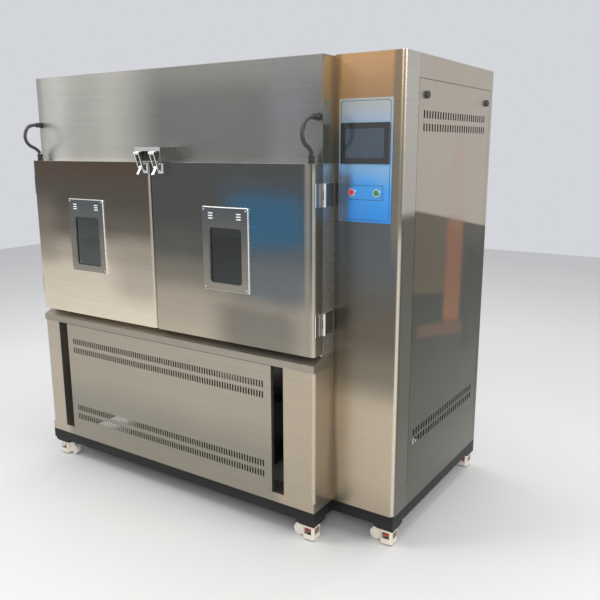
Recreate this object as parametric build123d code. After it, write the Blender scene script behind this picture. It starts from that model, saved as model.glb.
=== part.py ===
from build123d import *
import math
import os

# An environmental test chamber: an insulated cabinet with two windowed doors over a machine
# bay, beside a tall control column, all on one black base with five levelling castors.
# X runs to the right, Y to the back and Z up, in millimetres. The origin is on the floor,
# in the middle of the whole object's outline.

# The cabinet
chamber_width = 1620.0
column_width = 280.0
column_depth = 919.0
header_height = 384.0
header_drop = 5.0
header_stand = 86.0
door_stand = 58.0
sheet = 1.5
seat = 0.3
corner_radius = 16.0
column_corner_radius = 20.0

# Levels, from the floor up
castor_height = 73.0
spacer_height = 12.0
rail_height = 48.0
strip_height = 40.0
bay_height = 549.0
sill_height = 30.0
sill_rise = 26.0
door_lift = 8.0
door_height = 727.0

# The base and the lower front
rail_width = 60.0
rail_wall = 4.0
upright_size = 40.0
beam_width = 50.0
gusset_size = 112.0
spacer_size = 100.0
left_post_width = 106.0
right_post_width = 146.0
post_inner_return = 95.0
post_outer_return = 93.0
panel_side_gap = 60.0
panel_reveal = 2.0
panel_tray_depth = 18.0

# Ventilation slots
slot_width = 7.0
slot_height = 28.0
front_slot_pitch = 14.0
front_slot_margin = 39.0
front_rows_from_top = (86.0, 131.0)
front_rows_from_bottom = (71.0, 117.0)
side_slot_width = 12.0
side_slot_pitch = 26.0
side_slot_inset = 45.0
side_slot_tail = 58.0
side_rows_from_top = (127.0, 174.0)
side_rows_from_bottom = (166.0, 206.0)
rear_slot_count = 12
rear_slot_pitch = 26.0

# The insulated cavity
wall_thickness = 95.0
floor_thickness = 74.0
ceiling_thickness = 61.0
back_insulation = 80.0
cavity_depth = 700.0
collar_depth = 30.0
duct_space = 140.0
outlet_count = 4
outlet_margin = 40.0
outlet_drop = 70.0
outlet_height = 30.0
shelf_bar = 8.0
shelf_bar_count = 12
shelf_levels = (190.0, 390.0)
shelf_inset = 12.0
fan_radius = 100.0
fan_hub_radius = 26.0
fan_blade_count = 6
fan_thickness = 34.0
shaft_radius = 8.0
shaft_fit = 0.05
motor_radius = 55.0
motor_length = 110.0

# The doors
left_door_share = 0.48765
door_depth = 54.0
door_seam = 3.0
plug_depth = 35.0
plug_clearance = 9.0
gasket_width = 18.0
window_share = 0.25494
window_frame_width = 238.0
window_frame_height = 341.0
window_frame_stand = 10.0
window_frame_lift = 215.0
glass_width = 167.0
glass_height = 227.0
glass_lift = 31.0
glass_corner = 15.0
pane_lap = 8.0
pane_thickness = 6.0

# Hinges
hinge_height = 86.0
hinge_levels = (122.0, 613.0)
hinge_axis_out = 10.0
hinge_barrel_radius = 8.5
hinge_pin_radius = 4.0
hinge_pin_fit = 0.06
hinge_leaf = 4.0
hinge_ridge = 8.0
hinge_ridge_width = 13.0
hinge_clear = 12.0
door_leaf_reach = 50.0
body_leaf_reach = 74.0
knuckle_gap = 0.5

# Latches over the seam of the doors
latch_spacing = 88.0
latch_shift = 26.0
bracket_shift = 7.0
bracket_width = 146.0
bracket_reach = 97.0
bracket_height = 58.0
bracket_lift = 4.0
bracket_sheet = 2.0
bracket_lip = 16.0
bracket_tab_width = 26.0
bracket_tab_drop = 16.0
latch_pivot_out = 28.0
latch_pivot_down = 21.0
latch_pin_radius = 3.0
latch_pin_fit = 0.05
lever_width = 14.0
lever_thickness = 5.0
lever_length = 36.0
lever_slope = 35.0
lever_boss_radius = 6.5
latch_base_width = 30.0
latch_base_height = 42.0
latch_base_drop = 4.0
latch_base_sheet = 3.0
latch_ear = 2.5
latch_ear_nose = 6.0
link_width = 10.0
link_thickness = 4.0
roller_radius = 7.0
roller_over = 1.5
roller_clear = 2.0

# Cables from the header to the doors
cable_diameter = 16.0
gland_radius = 12.5
gland_length = 31.0
header_gland_inset = 18.0
header_gland_rise = 167.0
door_gland_inset = 29.0
door_gland_out = 32.0
cable_drop = 5.0

# The control column
service_panel_front = 116.0
rear_stile = 30.0
service_panel_rise = 99.0
service_panel_drop = 85.0
lip_width = 14.0
plate_inset = 42.0
plate_width = 219.0
plate_height = 446.0
plate_drop = 157.0
plate_thickness = 2.0
screen_width = 201.0
screen_height = 147.0
screen_rise = 213.0
screen_stand = 6.0
screen_depth = 30.0
button_rise = 109.0
button_spacing = 104.0
button_radius = 10.5
button_stand = 11.0
button_travel = 3.0
button_depth = 5.0
collar_radius = 15.0
collar_stand = 6.0
lock_radius = 14.0
lock_stand = 12.0
lock_drop = 142.0
lock_inset = 66.0
rear_lock_inset = 58.0
lock_shaft_radius = 6.0
lock_tongue_length = 50.0
lock_tongue_width = 14.0
lock_tongue_thickness = 2.5

# The machine bay
unit_from_front = 150.0
unit_from_rear = 260.0
tray_width = 840.0
tray_thickness = 4.0
dome_offset = 230.0
dome_radius = 95.0
dome_height = 250.0
coil_offset = -160.0
coil_depth = 60.0
shroud_width = 440.0
shroud_height = 434.0
shroud_wall = 4.0
condenser_fan_from_front = 246.0
condenser_fan_radius = 140.0
condenser_blade_count = 5
condenser_motor_radius = 40.0
condenser_motor_length = 70.0
shaft_hold = 24.0

# Electrical devices inside the column
board_height = 700.0
board_rise = 779.0
board_from_front = 220.0
board_from_rear = 160.0
board_thickness = 3.0
device_depth = 62.0
device_height = 90.0
device_rise = 100.0
device_step = 180.0
device_count = 3
device_margin = 40.0

# Levelling castors
castor_inset = 37.0
left_castor_inset = 62.0
castor_plate = 73.0
castor_plate_thickness = 3.5
bearing_radius = 22.0
bearing_thickness = 2.5
bearing_gap = 0.5
housing_reach = 30.0
housing_gap = 1.5
housing_corner = 9.0
yoke_top_thickness = 9.0
yoke_wall = 2.5
skirt_lift = 6.0
window_below = 8.0
window_above = 11.0
wheel_radius = 25.0
wheel_width = 22.0
wheel_offset = 52.0
wheel_lift = 3.0
axle_radius = 4.0
axle_fit = 0.05
cheek_thickness = 4.0
cheek_gap = 0.8
cheek_nose = 10.0
foot_radius = 20.0
foot_pad_height = 8.0
foot_travel = 6.0
spindle_radius = 5.0
spindle_fit = 0.3
thumbwheel_radius = 21.0
thumbwheel_height = 9.0
thumbwheel_lift = 36.0
thumbwheel_sides = 12

# Everything below is placed from the sizes above
hinge_reach = hinge_axis_out + hinge_barrel_radius
lever_reach = math.sin(math.radians(lever_slope)) * lever_length
tip_reach = math.cos(math.radians(lever_slope)) * lever_thickness / 2
lever_front = door_stand + latch_pivot_out + lever_reach + tip_reach
roller_front = bracket_reach + roller_clear + 2 * roller_radius
front_reach = header_stand + max(lever_front, roller_front)
rear_reach = gland_length
right_x = (chamber_width + column_width + hinge_reach - lock_stand) / 2
column_left = right_x - column_width
chamber_left = column_left - chamber_width
column_front_y = (front_reach - column_depth - rear_reach) / 2
rear_y = column_front_y + column_depth
header_front_y = column_front_y - header_stand
door_front_y = header_front_y - door_stand
door_back_y = door_front_y + door_depth
sill_rear_y = door_front_y + post_outer_return

rail_bottom = castor_height + spacer_height
rail_top = rail_bottom + rail_height
strip_top = rail_top + strip_height
sill_bottom = strip_top + bay_height
sill_top = sill_bottom + sill_height
deck_level = sill_top + sill_rise
door_bottom = deck_level + door_lift
door_top = door_bottom + door_height
header_top = door_top + header_height
column_height = header_top + header_drop

cavity_left = chamber_left + wall_thickness
cavity_right = column_left - wall_thickness
cavity_bottom = deck_level + floor_thickness
cavity_top = door_top - ceiling_thickness
liner_front_y = header_front_y + collar_depth
liner_back_y = liner_front_y + cavity_depth
duct_front_y = liner_back_y - duct_space
insulation_back_y = liner_back_y + sheet + back_insulation
left_door_width = chamber_width * left_door_share
window_from_seam = chamber_width * window_share
seam_x = chamber_left + left_door_width
header_gland_level = door_top + header_gland_rise
plate_level = column_height - plate_drop - plate_height
screen_level = plate_level + screen_rise
button_level = plate_level + button_rise
lock_level = column_height - lock_drop
service_panel_bottom = rail_top + service_panel_rise
service_panel_top = column_height - service_panel_drop

nodes = {}


def keep(name, *shapes):
    solids = [solid for shape in shapes for solid in shape.solids()]
    nodes[name] = solids


def block(x, y, z):
    low = (min(x), min(y), min(z))
    size = (abs(x[1] - x[0]), abs(y[1] - y[0]), abs(z[1] - z[0]))
    return Pos(*low) * Box(*size, align=(Align.MIN, Align.MIN, Align.MIN))


def rod(start, axis, radius, length):
    turn = {"X": Rotation(0, 90, 0), "Y": Rotation(-90, 0, 0), "Z": Rotation(0, 0, 0)}[axis]
    middle = (Align.CENTER, Align.CENTER, Align.MIN)
    return Pos(*start) * turn * Cylinder(radius, length, align=middle)


def side_sheet(points, x_low, thickness):
    # A flat piece drawn in Y and Z, thickened to the right from x_low
    face = make_face(Plane.YZ * Polyline(*points, close=True))
    return Pos(x_low, 0, 0) * extrude(face, thickness, dir=(1, 0, 0))


def corner_edges(shape, x_side, y_side):
    uprights = shape.edges().filter_by(Axis.Z)
    return [e for e in uprights if abs(e.center().X - x_side) < 0.01 and abs(e.center().Y - y_side) < 0.01]


def slot_row(first, pitch, count, width, z, depth, along):
    # One row of upright slots as cutting blocks, along X or along Y
    cuts = []
    for index in range(count):
        start = first + index * pitch
        span = (start, start + width)
        height = (z - slot_height / 2, z + slot_height / 2)
        cuts.append(block(span, depth, height) if along == "X" else block(depth, span, height))
    return cuts


def make_base_frame():
    outline = Polyline(
        (chamber_left, door_front_y),
        (column_left, door_front_y),
        (column_left, column_front_y),
        (right_x, column_front_y),
        (right_x, rear_y),
        (chamber_left, rear_y),
        close=True,
    )
    face = make_face(outline)
    inside = offset(face, -rail_width)
    web = offset(face, -rail_wall)
    ring = Pos(0, 0, rail_bottom) * extrude(face - inside, rail_height, dir=(0, 0, 1))
    trough_height = rail_height - 2 * rail_wall
    trough_low = rail_bottom + rail_wall
    trough = Pos(0, 0, trough_low) * extrude(web - inside, trough_height, dir=(0, 0, 1))
    frame = ring - trough
    hull = Pos(0, 0, castor_height) * extrude(face, spacer_height + rail_wall, dir=(0, 0, 1))
    for x, y in castor_centres():
        reach = gusset_size / 2
        plate = block((x - reach, x + reach), (y - reach, y + reach), (rail_bottom, rail_bottom + rail_wall))
        reach = spacer_size / 2
        spacer = block((x - reach, x + reach), (y - reach, y + reach), (castor_height, rail_bottom))
        frame += (plate + spacer) & hull
    beam_y = (door_front_y + rail_wall, rear_y - rail_wall)
    beam_z = (rail_bottom + rail_wall, rail_top)
    span = column_left - chamber_left
    for share in (0.33, 0.67):
        x = chamber_left + span * share
        frame += block((x - beam_width / 2, x + beam_width / 2), beam_y, beam_z)
    return frame


def make_uprights():
    # Square posts from the base rail to the deck that carries the insulated cabinet
    posts = []
    inner_x = (chamber_left + sheet, column_left - sheet - upright_size)
    inner_y = (sill_rear_y + sheet, rear_y - sheet - upright_size)
    for x in inner_x:
        for y in inner_y:
            posts.append(block((x, x + upright_size), (y, y + upright_size), (rail_top, deck_level - upright_size)))
    deck = block(
        (chamber_left + sheet, column_left - sheet),
        (sill_rear_y + sheet, rear_y - sheet),
        (deck_level - upright_size, deck_level),
    )
    well = block(
        (chamber_left + sheet + upright_size, column_left - sheet - upright_size),
        (sill_rear_y + sheet + upright_size, rear_y - sheet - upright_size),
        (deck_level - upright_size - 1, deck_level - 2 * sheet),
    )
    return [deck - well] + posts


def castor_centres():
    step_x = column_left - castor_inset
    front_y = door_front_y + castor_inset
    back_y = rear_y - castor_inset
    left = chamber_left + left_castor_inset
    right = right_x - castor_inset
    return [(left, front_y), (step_x, front_y), (right, column_front_y + castor_inset), (right, back_y), (left, back_y)]


def castor_trail(x):
    # The wheels at the left are parked towards the right, all the others towards the left
    return 1 if x < 0 else -1


def make_cabinet():
    # The outer sheets of the insulated cabinet
    side = side_sheet(
        [
            (sill_rear_y, rail_top),
            (rear_y, rail_top),
            (rear_y, header_top - sheet),
            (column_front_y, header_top - sheet),
            (column_front_y, deck_level),
            (sill_rear_y, deck_level),
        ],
        chamber_left,
        sheet,
    )
    keep("left_side_panel", side)

    chamber_roof = block((chamber_left, column_left), (header_front_y, rear_y), (header_top - sheet, header_top))
    column_roof = block((column_left, right_x), (column_front_y, rear_y), (column_height - sheet, column_height))
    front_corner = corner_edges(column_roof, right_x, column_front_y)
    column_roof = fillet(front_corner, column_corner_radius)
    keep("roof_panel", chamber_roof, column_roof)

    header_span = (chamber_left, column_left)
    tray = block(header_span, (header_front_y, column_front_y), (door_top, header_top - sheet))
    hollow = block(
        (chamber_left + sheet, column_left - sheet),
        (header_front_y + sheet, column_front_y + 1),
        (door_top + sheet, header_top),
    )
    holes = [
        rod((x, header_front_y - 1, header_gland_level), "Y", cable_diameter / 2, sheet + 2) for x in gland_columns()
    ]
    keep("header_panel", tray - hollow - holes)

    opening = ((cavity_left, cavity_right), (cavity_bottom, cavity_top))
    tray = block(header_span, (header_front_y, column_front_y), (deck_level, door_top))
    hollow = block(
        (chamber_left + sheet, column_left - sheet),
        (header_front_y + sheet, column_front_y + 1),
        (deck_level - 1, door_top + 1),
    )
    collar = block(
        (cavity_left - sheet, cavity_right + sheet),
        (header_front_y, liner_front_y),
        (cavity_bottom - sheet, cavity_top + sheet),
    )
    way = block(opening[0], (header_front_y - 1, column_front_y + 1), opening[1])
    keep("face_frame", tray - hollow + collar - way)

    liner = block(
        (cavity_left - sheet, cavity_right + sheet),
        (liner_front_y, liner_back_y + sheet),
        (cavity_bottom - sheet, cavity_top + sheet),
    )
    room = block(opening[0], (liner_front_y - 1, liner_back_y), opening[1])
    shaft_hole = rod((fan_x(), liner_back_y - 1, fan_z()), "Y", shaft_radius + 2, sheet + 2)
    keep("inner_liner", liner - room - shaft_hole)

    wide = (chamber_left + sheet, column_left - sheet)
    deep = (liner_front_y, insulation_back_y)
    low = (deck_level, cavity_bottom - sheet)
    high = (cavity_top + sheet, door_top)
    middle = (low[1], high[0])
    slabs = [
        block(wide, deep, low),
        block(wide, deep, high),
        block((wide[0], cavity_left - sheet), deep, middle),
        block((cavity_right + sheet, wide[1]), deep, middle),
    ]
    back = block((cavity_left - sheet, cavity_right + sheet), (liner_back_y + sheet, insulation_back_y), middle)
    shaft_way = rod((fan_x(), liner_back_y, fan_z()), "Y", shaft_radius + 2, back_insulation + 5)
    keep("insulation", *slabs, back - shaft_way)


def make_rear_panel():
    back = (rear_y - sheet, rear_y)
    upper = block((chamber_left + sheet, column_left), back, (deck_level, header_top - sheet))
    lower = block((chamber_left + sheet, column_left), back, (rail_top, deck_level - panel_reveal))
    column = block((column_left + sheet, right_x - sheet), back, (rail_top, column_height - sheet))
    middle = (chamber_left + column_left) / 2
    first = middle - rear_slot_pitch * rear_slot_count / 2
    for row in front_rows_from_top:
        depth = (rear_y - sheet - 1, rear_y + 1)
        z = sill_bottom - row
        lower -= slot_row(first, rear_slot_pitch, rear_slot_count, side_slot_width, z, depth, "X")
    keep("rear_panel", upper, lower, column)


def make_lower_frame():
    pieces = []
    for start, width, outer_left in (
        (chamber_left, left_post_width, True),
        (column_left - right_post_width, right_post_width, False),
    ):
        stop = start + width
        outer_x = start if outer_left else stop
        inner_x = stop if outer_left else start
        post = block((start, stop), (door_front_y, door_front_y + post_outer_return), (strip_top, sill_bottom))
        post = fillet(corner_edges(post, outer_x, door_front_y), corner_radius)
        hollow = block(
            (start + sheet, stop - sheet),
            (door_front_y + sheet, door_front_y + post_outer_return + 1),
            (strip_top - 1, sill_bottom + 1),
        )
        inner_corner = corner_edges(hollow, outer_x + (sheet if outer_left else -sheet), door_front_y + sheet)
        post -= fillet(inner_corner, corner_radius - sheet)
        fin_x = (inner_x - sheet, inner_x) if outer_left else (inner_x, inner_x + sheet)
        fin_y = (door_front_y + sheet, door_front_y + post_inner_return)
        pieces.append(post + block(fin_x, fin_y, (strip_top, sill_bottom)))

    strip = block((chamber_left, column_left), (door_front_y, door_front_y + post_outer_return), (rail_top, strip_top))
    hollow = block(
        (chamber_left + sheet, column_left - sheet),
        (door_front_y + sheet, door_front_y + post_outer_return + 1),
        (rail_top - 1, strip_top - sheet),
    )
    pieces.append(strip - hollow)

    profile = [
        (door_front_y, sill_bottom),
        (door_front_y, sill_top),
        (header_front_y, deck_level),
        (sill_rear_y, deck_level),
        (sill_rear_y, sill_bottom),
    ]
    sill = side_sheet(profile, chamber_left, chamber_width)
    slope = sheet * 1.2
    inner_profile = [
        (door_front_y + sheet, sill_bottom + sheet),
        (door_front_y + sheet, sill_top - slope),
        (header_front_y, deck_level - slope),
        (sill_rear_y + 1, deck_level - slope),
        (sill_rear_y + 1, sill_bottom + sheet),
    ]
    pieces.append(sill - side_sheet(inner_profile, chamber_left + sheet, chamber_width - 2 * sheet))

    filler = block((column_left - sheet, column_left), (sill_rear_y, column_front_y), (rail_top, deck_level))
    pieces.append(filler)
    keep("lower_frame", *pieces)


def make_lower_front_panel():
    start = chamber_left + left_post_width + panel_side_gap
    stop = column_left - right_post_width - panel_side_gap
    low = strip_top + seat
    high = sill_bottom - panel_reveal
    tray = block((start, stop), (door_front_y, door_front_y + panel_tray_depth), (low, high))
    hollow = block(
        (start + sheet, stop - sheet),
        (door_front_y + sheet, door_front_y + panel_tray_depth + 1),
        (low + sheet, high - sheet),
    )
    panel = tray - hollow
    spare = front_slot_pitch - slot_width
    count = int((stop - start - 2 * front_slot_margin + spare) / front_slot_pitch)
    first = (start + stop - count * front_slot_pitch + spare) / 2
    depth = (door_front_y - 1, door_front_y + sheet + 1)
    rows = [sill_bottom - drop for drop in front_rows_from_top]
    rows += [strip_top + rise for rise in front_rows_from_bottom]
    cuts = []
    for z in rows:
        cuts += slot_row(first, front_slot_pitch, count, slot_width, z, depth, "X")
    keep("lower_front_panel", panel - cuts)


def make_column():
    front_y = (column_front_y, column_front_y + service_panel_front)
    shell = block((column_left, right_x), front_y, (rail_top, column_height - sheet))
    shell = fillet(corner_edges(shell, right_x, column_front_y), column_corner_radius)
    hollow = block(
        (column_left + sheet, right_x - sheet),
        (column_front_y + sheet, front_y[1] + 1),
        (rail_top - 1, column_height),
    )
    hollow = fillet(corner_edges(hollow, right_x - sheet, column_front_y + sheet), column_corner_radius - sheet)
    cut = (column_front_y - 1, column_front_y + sheet + 1)
    screen_x = plate_middle() - screen_width / 2
    screen_hole = block(
        (screen_x + 5, screen_x + screen_width - 5), cut, (screen_level + 5, screen_level + screen_height - 5)
    )
    button_holes = [rod((x, cut[0], button_level), "Y", button_radius + 2, sheet + 2) for x in button_columns()]
    keep("column_front", shell - hollow - screen_hole - button_holes)

    side_y = (column_front_y + service_panel_front, rear_y)
    opening_y = (side_y[0] + panel_reveal, rear_y - rear_stile)
    opening_z = (service_panel_bottom, service_panel_top)
    skin = block((right_x - sheet, right_x), side_y, (rail_top, column_height - sheet))
    jamb_x = (right_x - panel_tray_depth - seat, right_x)
    jamb = block(
        jamb_x, (opening_y[0] - sheet, opening_y[1] + sheet), (opening_z[0] - sheet, opening_z[1] + sheet)
    )
    lip_x = (jamb_x[0] - sheet, jamb_x[0])
    lip = block(lip_x, (opening_y[0] - sheet, opening_y[1] + sheet), (opening_z[0] - sheet, opening_z[1] + sheet))
    way = block(
        (lip_x[0] - 1, right_x + 1),
        (opening_y[0] + lip_width, opening_y[1] - lip_width),
        (opening_z[0] + lip_width, opening_z[1] - lip_width),
    )
    seat_way = block((jamb_x[0], right_x + 1), opening_y, opening_z)
    frame = skin + jamb + lip - way - seat_way
    inner_wall = block((column_left, column_left + sheet), side_y, (rail_top, column_height - sheet))
    keep("column_side_frame", frame, inner_wall)

    panel_y = (opening_y[0] + panel_reveal, opening_y[1] - panel_reveal)
    panel_z = (opening_z[0] + seat, opening_z[1] - panel_reveal)
    tray = block((right_x - panel_tray_depth, right_x), panel_y, panel_z)
    hollow = block(
        (right_x - panel_tray_depth - 1, right_x - sheet),
        (panel_y[0] + sheet, panel_y[1] - sheet),
        (panel_z[0] + sheet, panel_z[1] - sheet),
    )
    panel = tray - hollow
    for y in lock_rows():
        panel -= rod((right_x - sheet - 1, y, lock_level), "X", lock_shaft_radius + seat, sheet + 2)
    first = panel_y[0] + side_slot_inset
    count = int((panel_y[1] - side_slot_tail - first + side_slot_pitch - side_slot_width) / side_slot_pitch)
    depth = (right_x - sheet - 1, right_x + 1)
    rows = [service_panel_top - drop for drop in side_rows_from_top]
    rows += [service_panel_bottom + rise for rise in side_rows_from_bottom]
    cuts = []
    for z in rows:
        cuts += slot_row(first, side_slot_pitch, count, side_slot_width, z, depth, "Y")
    keep("side_service_panel", panel - cuts)


def plate_middle():
    return right_x - plate_inset - plate_width / 2


def button_columns():
    return [plate_middle() - button_spacing / 2, plate_middle() + button_spacing / 2]


def lock_rows():
    front = column_front_y + service_panel_front + lock_inset
    return [front, rear_y - rear_stile - rear_lock_inset]


def make_controls():
    middle = plate_middle()
    plate_y = (column_front_y - plate_thickness, column_front_y)
    plate = block(
        (middle - plate_width / 2, middle + plate_width / 2), plate_y, (plate_level, plate_level + plate_height)
    )
    screen_span = (middle - screen_width / 2, middle + screen_width / 2)
    window = block(
        (screen_span[0] + 5, screen_span[1] - 5),
        (plate_y[0] - 1, plate_y[1] + 1),
        (screen_level + 5, screen_level + screen_height - 5),
    )
    collars = []
    for x in button_columns():
        plate -= rod((x, plate_y[0] - 1, button_level), "Y", button_radius + seat, plate_thickness + 2)
        collar = rod((x, plate_y[0] - collar_stand, button_level), "Y", collar_radius, collar_stand)
        collars.append(collar - rod((x, plate_y[0] - collar_stand - 1, button_level), "Y", button_radius + seat, 99))
    keep("control_plate", plate - window, *collars)

    bezel = block(
        screen_span, (plate_y[0] - screen_stand, plate_y[0]), (screen_level, screen_level + screen_height)
    )
    bezel = fillet(bezel.edges().filter_by(Axis.Y), 4)
    body = block(
        (screen_span[0] + 6, screen_span[1] - 6),
        (plate_y[0], column_front_y + screen_depth),
        (screen_level + 6, screen_level + screen_height - 6),
    )
    keep("touch_screen", bezel + body)

    for name, x in zip(("red_button", "green_button"), button_columns()):
        front = plate_y[0] - button_stand
        length = button_stand + plate_thickness + button_depth
        button = rod((x, front, button_level), "Y", button_radius, length)
        rim = button.edges().filter_by(GeomType.CIRCLE).group_by(Axis.Y)[0]
        keep(name, chamfer(rim, 2.5))

    board_x = (column_left + sheet, column_left + sheet + board_thickness)
    board_y = (column_front_y + board_from_front, rear_y - board_from_rear)
    board_low = rail_top + board_rise
    board = block(board_x, board_y, (board_low, board_low + board_height))
    device_y = (board_y[0] + device_margin, board_y[1] - device_margin)
    devices = []
    for index in range(device_count):
        z = board_low + device_rise + index * device_step
        devices.append(block((board_x[1], board_x[1] + device_depth), device_y, (z, z + device_height)))
    keep("electrical_backplate", board, *devices)


def make_locks():
    for name, y in zip(("front_panel_lock", "rear_panel_lock"), lock_rows()):
        knob = rod((right_x + seat, y, lock_level), "X", lock_radius, lock_stand - seat)
        rim = knob.edges().filter_by(GeomType.CIRCLE).group_by(Axis.X)[-1]
        knob = chamfer(rim, 2)
        groove = block(
            (right_x + lock_stand - 4, right_x + lock_stand + 1), (y - 2, y + 2), (lock_level - 10, lock_level + 10)
        )
        tongue_x = right_x - panel_tray_depth - seat - sheet - seat - lock_tongue_thickness
        shaft = rod((tongue_x, y, lock_level), "X", lock_shaft_radius, right_x + 1 - tongue_x)
        tongue = block(
            (tongue_x, tongue_x + lock_tongue_thickness),
            (y - lock_tongue_width / 2, y + lock_tongue_width / 2),
            (lock_level - lock_tongue_width / 2, lock_level + lock_tongue_length),
        )
        keep(name, knob - groove + shaft + tongue)


def door_span(hand):
    if hand < 0:
        return (chamber_left, seam_x - door_seam / 2)
    return (seam_x + door_seam / 2, column_left)


def window_box(hand, grow, y):
    middle = seam_x + hand * window_from_seam
    low = door_bottom + window_frame_lift + glass_lift
    box = block(
        (middle - glass_width / 2 - grow, middle + glass_width / 2 + grow), y, (low - grow, low + glass_height + grow)
    )
    return fillet(box.edges().filter_by(Axis.Y), glass_corner + min(grow, 0))


def make_door(hand, side):
    span = door_span(hand)
    height = (door_bottom, door_top)
    skin = block(span, (door_front_y, door_back_y), height)
    corners = corner_edges(skin, span[0], door_front_y) + corner_edges(skin, span[1], door_front_y)
    skin = fillet(corners, corner_radius)
    pocket = block(
        (span[0] + sheet, span[1] - sheet), (door_front_y + sheet, door_back_y + 1), (height[0] + sheet, height[1] - sheet)
    )
    corners = corner_edges(pocket, span[0] + sheet, door_front_y + sheet)
    corners += corner_edges(pocket, span[1] - sheet, door_front_y + sheet)
    pocket = fillet(corners, corner_radius - sheet)
    port = window_box(hand, pane_lap + 1, (door_front_y - 1, door_front_y + sheet + 1))
    keep(side + "_door_panel", skin - pocket - port)

    outer_x = cavity_left + plug_clearance if hand < 0 else cavity_right - plug_clearance
    inner_x = seam_x + hand * plug_clearance
    plug = (min(outer_x, inner_x), max(outer_x, inner_x))
    plug_z = (cavity_bottom + plug_clearance, cavity_top - plug_clearance)
    plug_back = door_back_y + plug_depth
    flange = block(
        (span[0] + sheet, span[1] - sheet), (door_back_y - sheet, door_back_y), (height[0] + sheet, height[1] - sheet)
    )
    hat = block(plug, (door_back_y - sheet, plug_back), plug_z)
    back_edges = hat.edges().filter_by(Axis.Z).group_by(Axis.Y)[-1] + hat.edges().filter_by(Axis.X).group_by(Axis.Y)[-1]
    hat = chamfer(back_edges, 6)
    hollow = block(
        (plug[0] + sheet, plug[1] - sheet), (door_back_y - sheet - 1, plug_back - 8), (plug_z[0] + sheet, plug_z[1] - sheet)
    )
    tunnel_front = door_front_y + seat + pane_thickness + seat
    tunnel = window_box(hand, pane_lap + 1 + sheet, (tunnel_front, plug_back))
    way = window_box(hand, pane_lap + 1, (tunnel_front - 1, plug_back + 1))
    keep(side + "_door_liner", flange + hat - hollow + tunnel - way)

    outer_end = (plug[0] - plug_clearance - gasket_width) if hand < 0 else (plug[1] + plug_clearance + gasket_width)
    inner_end = seam_x + hand * (door_seam / 2 + 1)
    ring_x = (min(outer_end, inner_end), max(outer_end, inner_end))
    ring_z = (plug_z[0] - plug_clearance - gasket_width, plug_z[1] + plug_clearance + gasket_width)
    ring = block(ring_x, (door_back_y, header_front_y - seat), ring_z)
    inner_ring_x = (plug[0] - 1, plug[1] + 1)
    hole = block(inner_ring_x, (door_back_y - 1, header_front_y + 1), (plug_z[0] - 1, plug_z[1] + 1))
    keep(side + "_door_gasket", ring - hole)

    middle = seam_x + hand * window_from_seam
    frame_z = (door_bottom + window_frame_lift, door_bottom + window_frame_lift + window_frame_height)
    frame = block(
        (middle - window_frame_width / 2, middle + window_frame_width / 2),
        (door_front_y - window_frame_stand, door_front_y),
        frame_z,
    )
    frame = fillet(frame.edges().filter_by(Axis.Y), 6)
    frame = chamfer(frame.faces().sort_by(Axis.Y)[0].edges(), 3)
    view = window_box(hand, 0, (door_front_y - window_frame_stand - 1, door_front_y + 1))
    keep(side + "_window_frame", frame - view)

    outer_pane = window_box(hand, pane_lap, (door_front_y + seat, door_front_y + seat + pane_thickness))
    inner_pane = window_box(hand, pane_lap + 1 - seat, (plug_back - pane_thickness, plug_back))
    keep(side + "_window_glass", outer_pane, inner_pane)


def hinge_axis(hand):
    side_x = chamber_left if hand < 0 else column_left
    return (side_x + hand * hinge_axis_out, header_front_y - (door_stand - door_depth) / 2)


def hinge_centres():
    return [door_bottom + level for level in hinge_levels]


def make_hinge(hand, level):
    axis_x, axis_y = hinge_axis(hand)
    side_x = axis_x - hand * hinge_axis_out
    half = hinge_height / 2
    third = hinge_height / 6

    def leaf(direction, reach):
        # A leaf with the raised ridge beside its barrel, on one side of the axis
        near = axis_y + direction * hinge_clear
        ridge_end = near + direction * hinge_ridge_width
        far = axis_y + direction * reach
        height = (level - half, level + half)
        plate = block((side_x, side_x + hand * hinge_leaf), (near, far), height)
        ridge = block((side_x, side_x + hand * hinge_ridge), (near, ridge_end), height)
        return plate + ridge

    def knuckle(direction, low, high):
        barrel = rod((axis_x, axis_y, low), "Z", hinge_barrel_radius, high - low)
        arm = block(
            (axis_x - hand * hinge_barrel_radius * 0.9, axis_x - hand * 1),
            (axis_y, axis_y + direction * (hinge_clear + 2)),
            (low, high),
        )
        return barrel + arm

    pin_hole = rod((axis_x, axis_y, level - half - 1), "Z", hinge_pin_radius + hinge_pin_fit, hinge_height + 2)
    upper = knuckle(-1, level + third + knuckle_gap, level + half)
    lower = knuckle(-1, level - half, level - third - knuckle_gap)
    door_half = leaf(-1, door_leaf_reach) + upper + lower - pin_hole
    pin = rod((axis_x, axis_y, level - half), "Z", hinge_pin_radius, hinge_height)
    body_half = leaf(1, body_leaf_reach) + knuckle(1, level - third, level + third) + pin
    return door_half, body_half


def latch_columns():
    middle = seam_x + latch_shift
    return {-1: middle - latch_spacing / 2, 1: middle + latch_spacing / 2}


def latch_pivot():
    return (door_front_y - latch_pivot_out, door_top - latch_pivot_down)


def beside(start, out, outline):
    # Points given along and across a direction, in Y and Z
    return [
        (start[0] + out[0] * along + out[1] * across, start[1] + out[1] * along - out[0] * across)
        for along, across in outline
    ]


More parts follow.
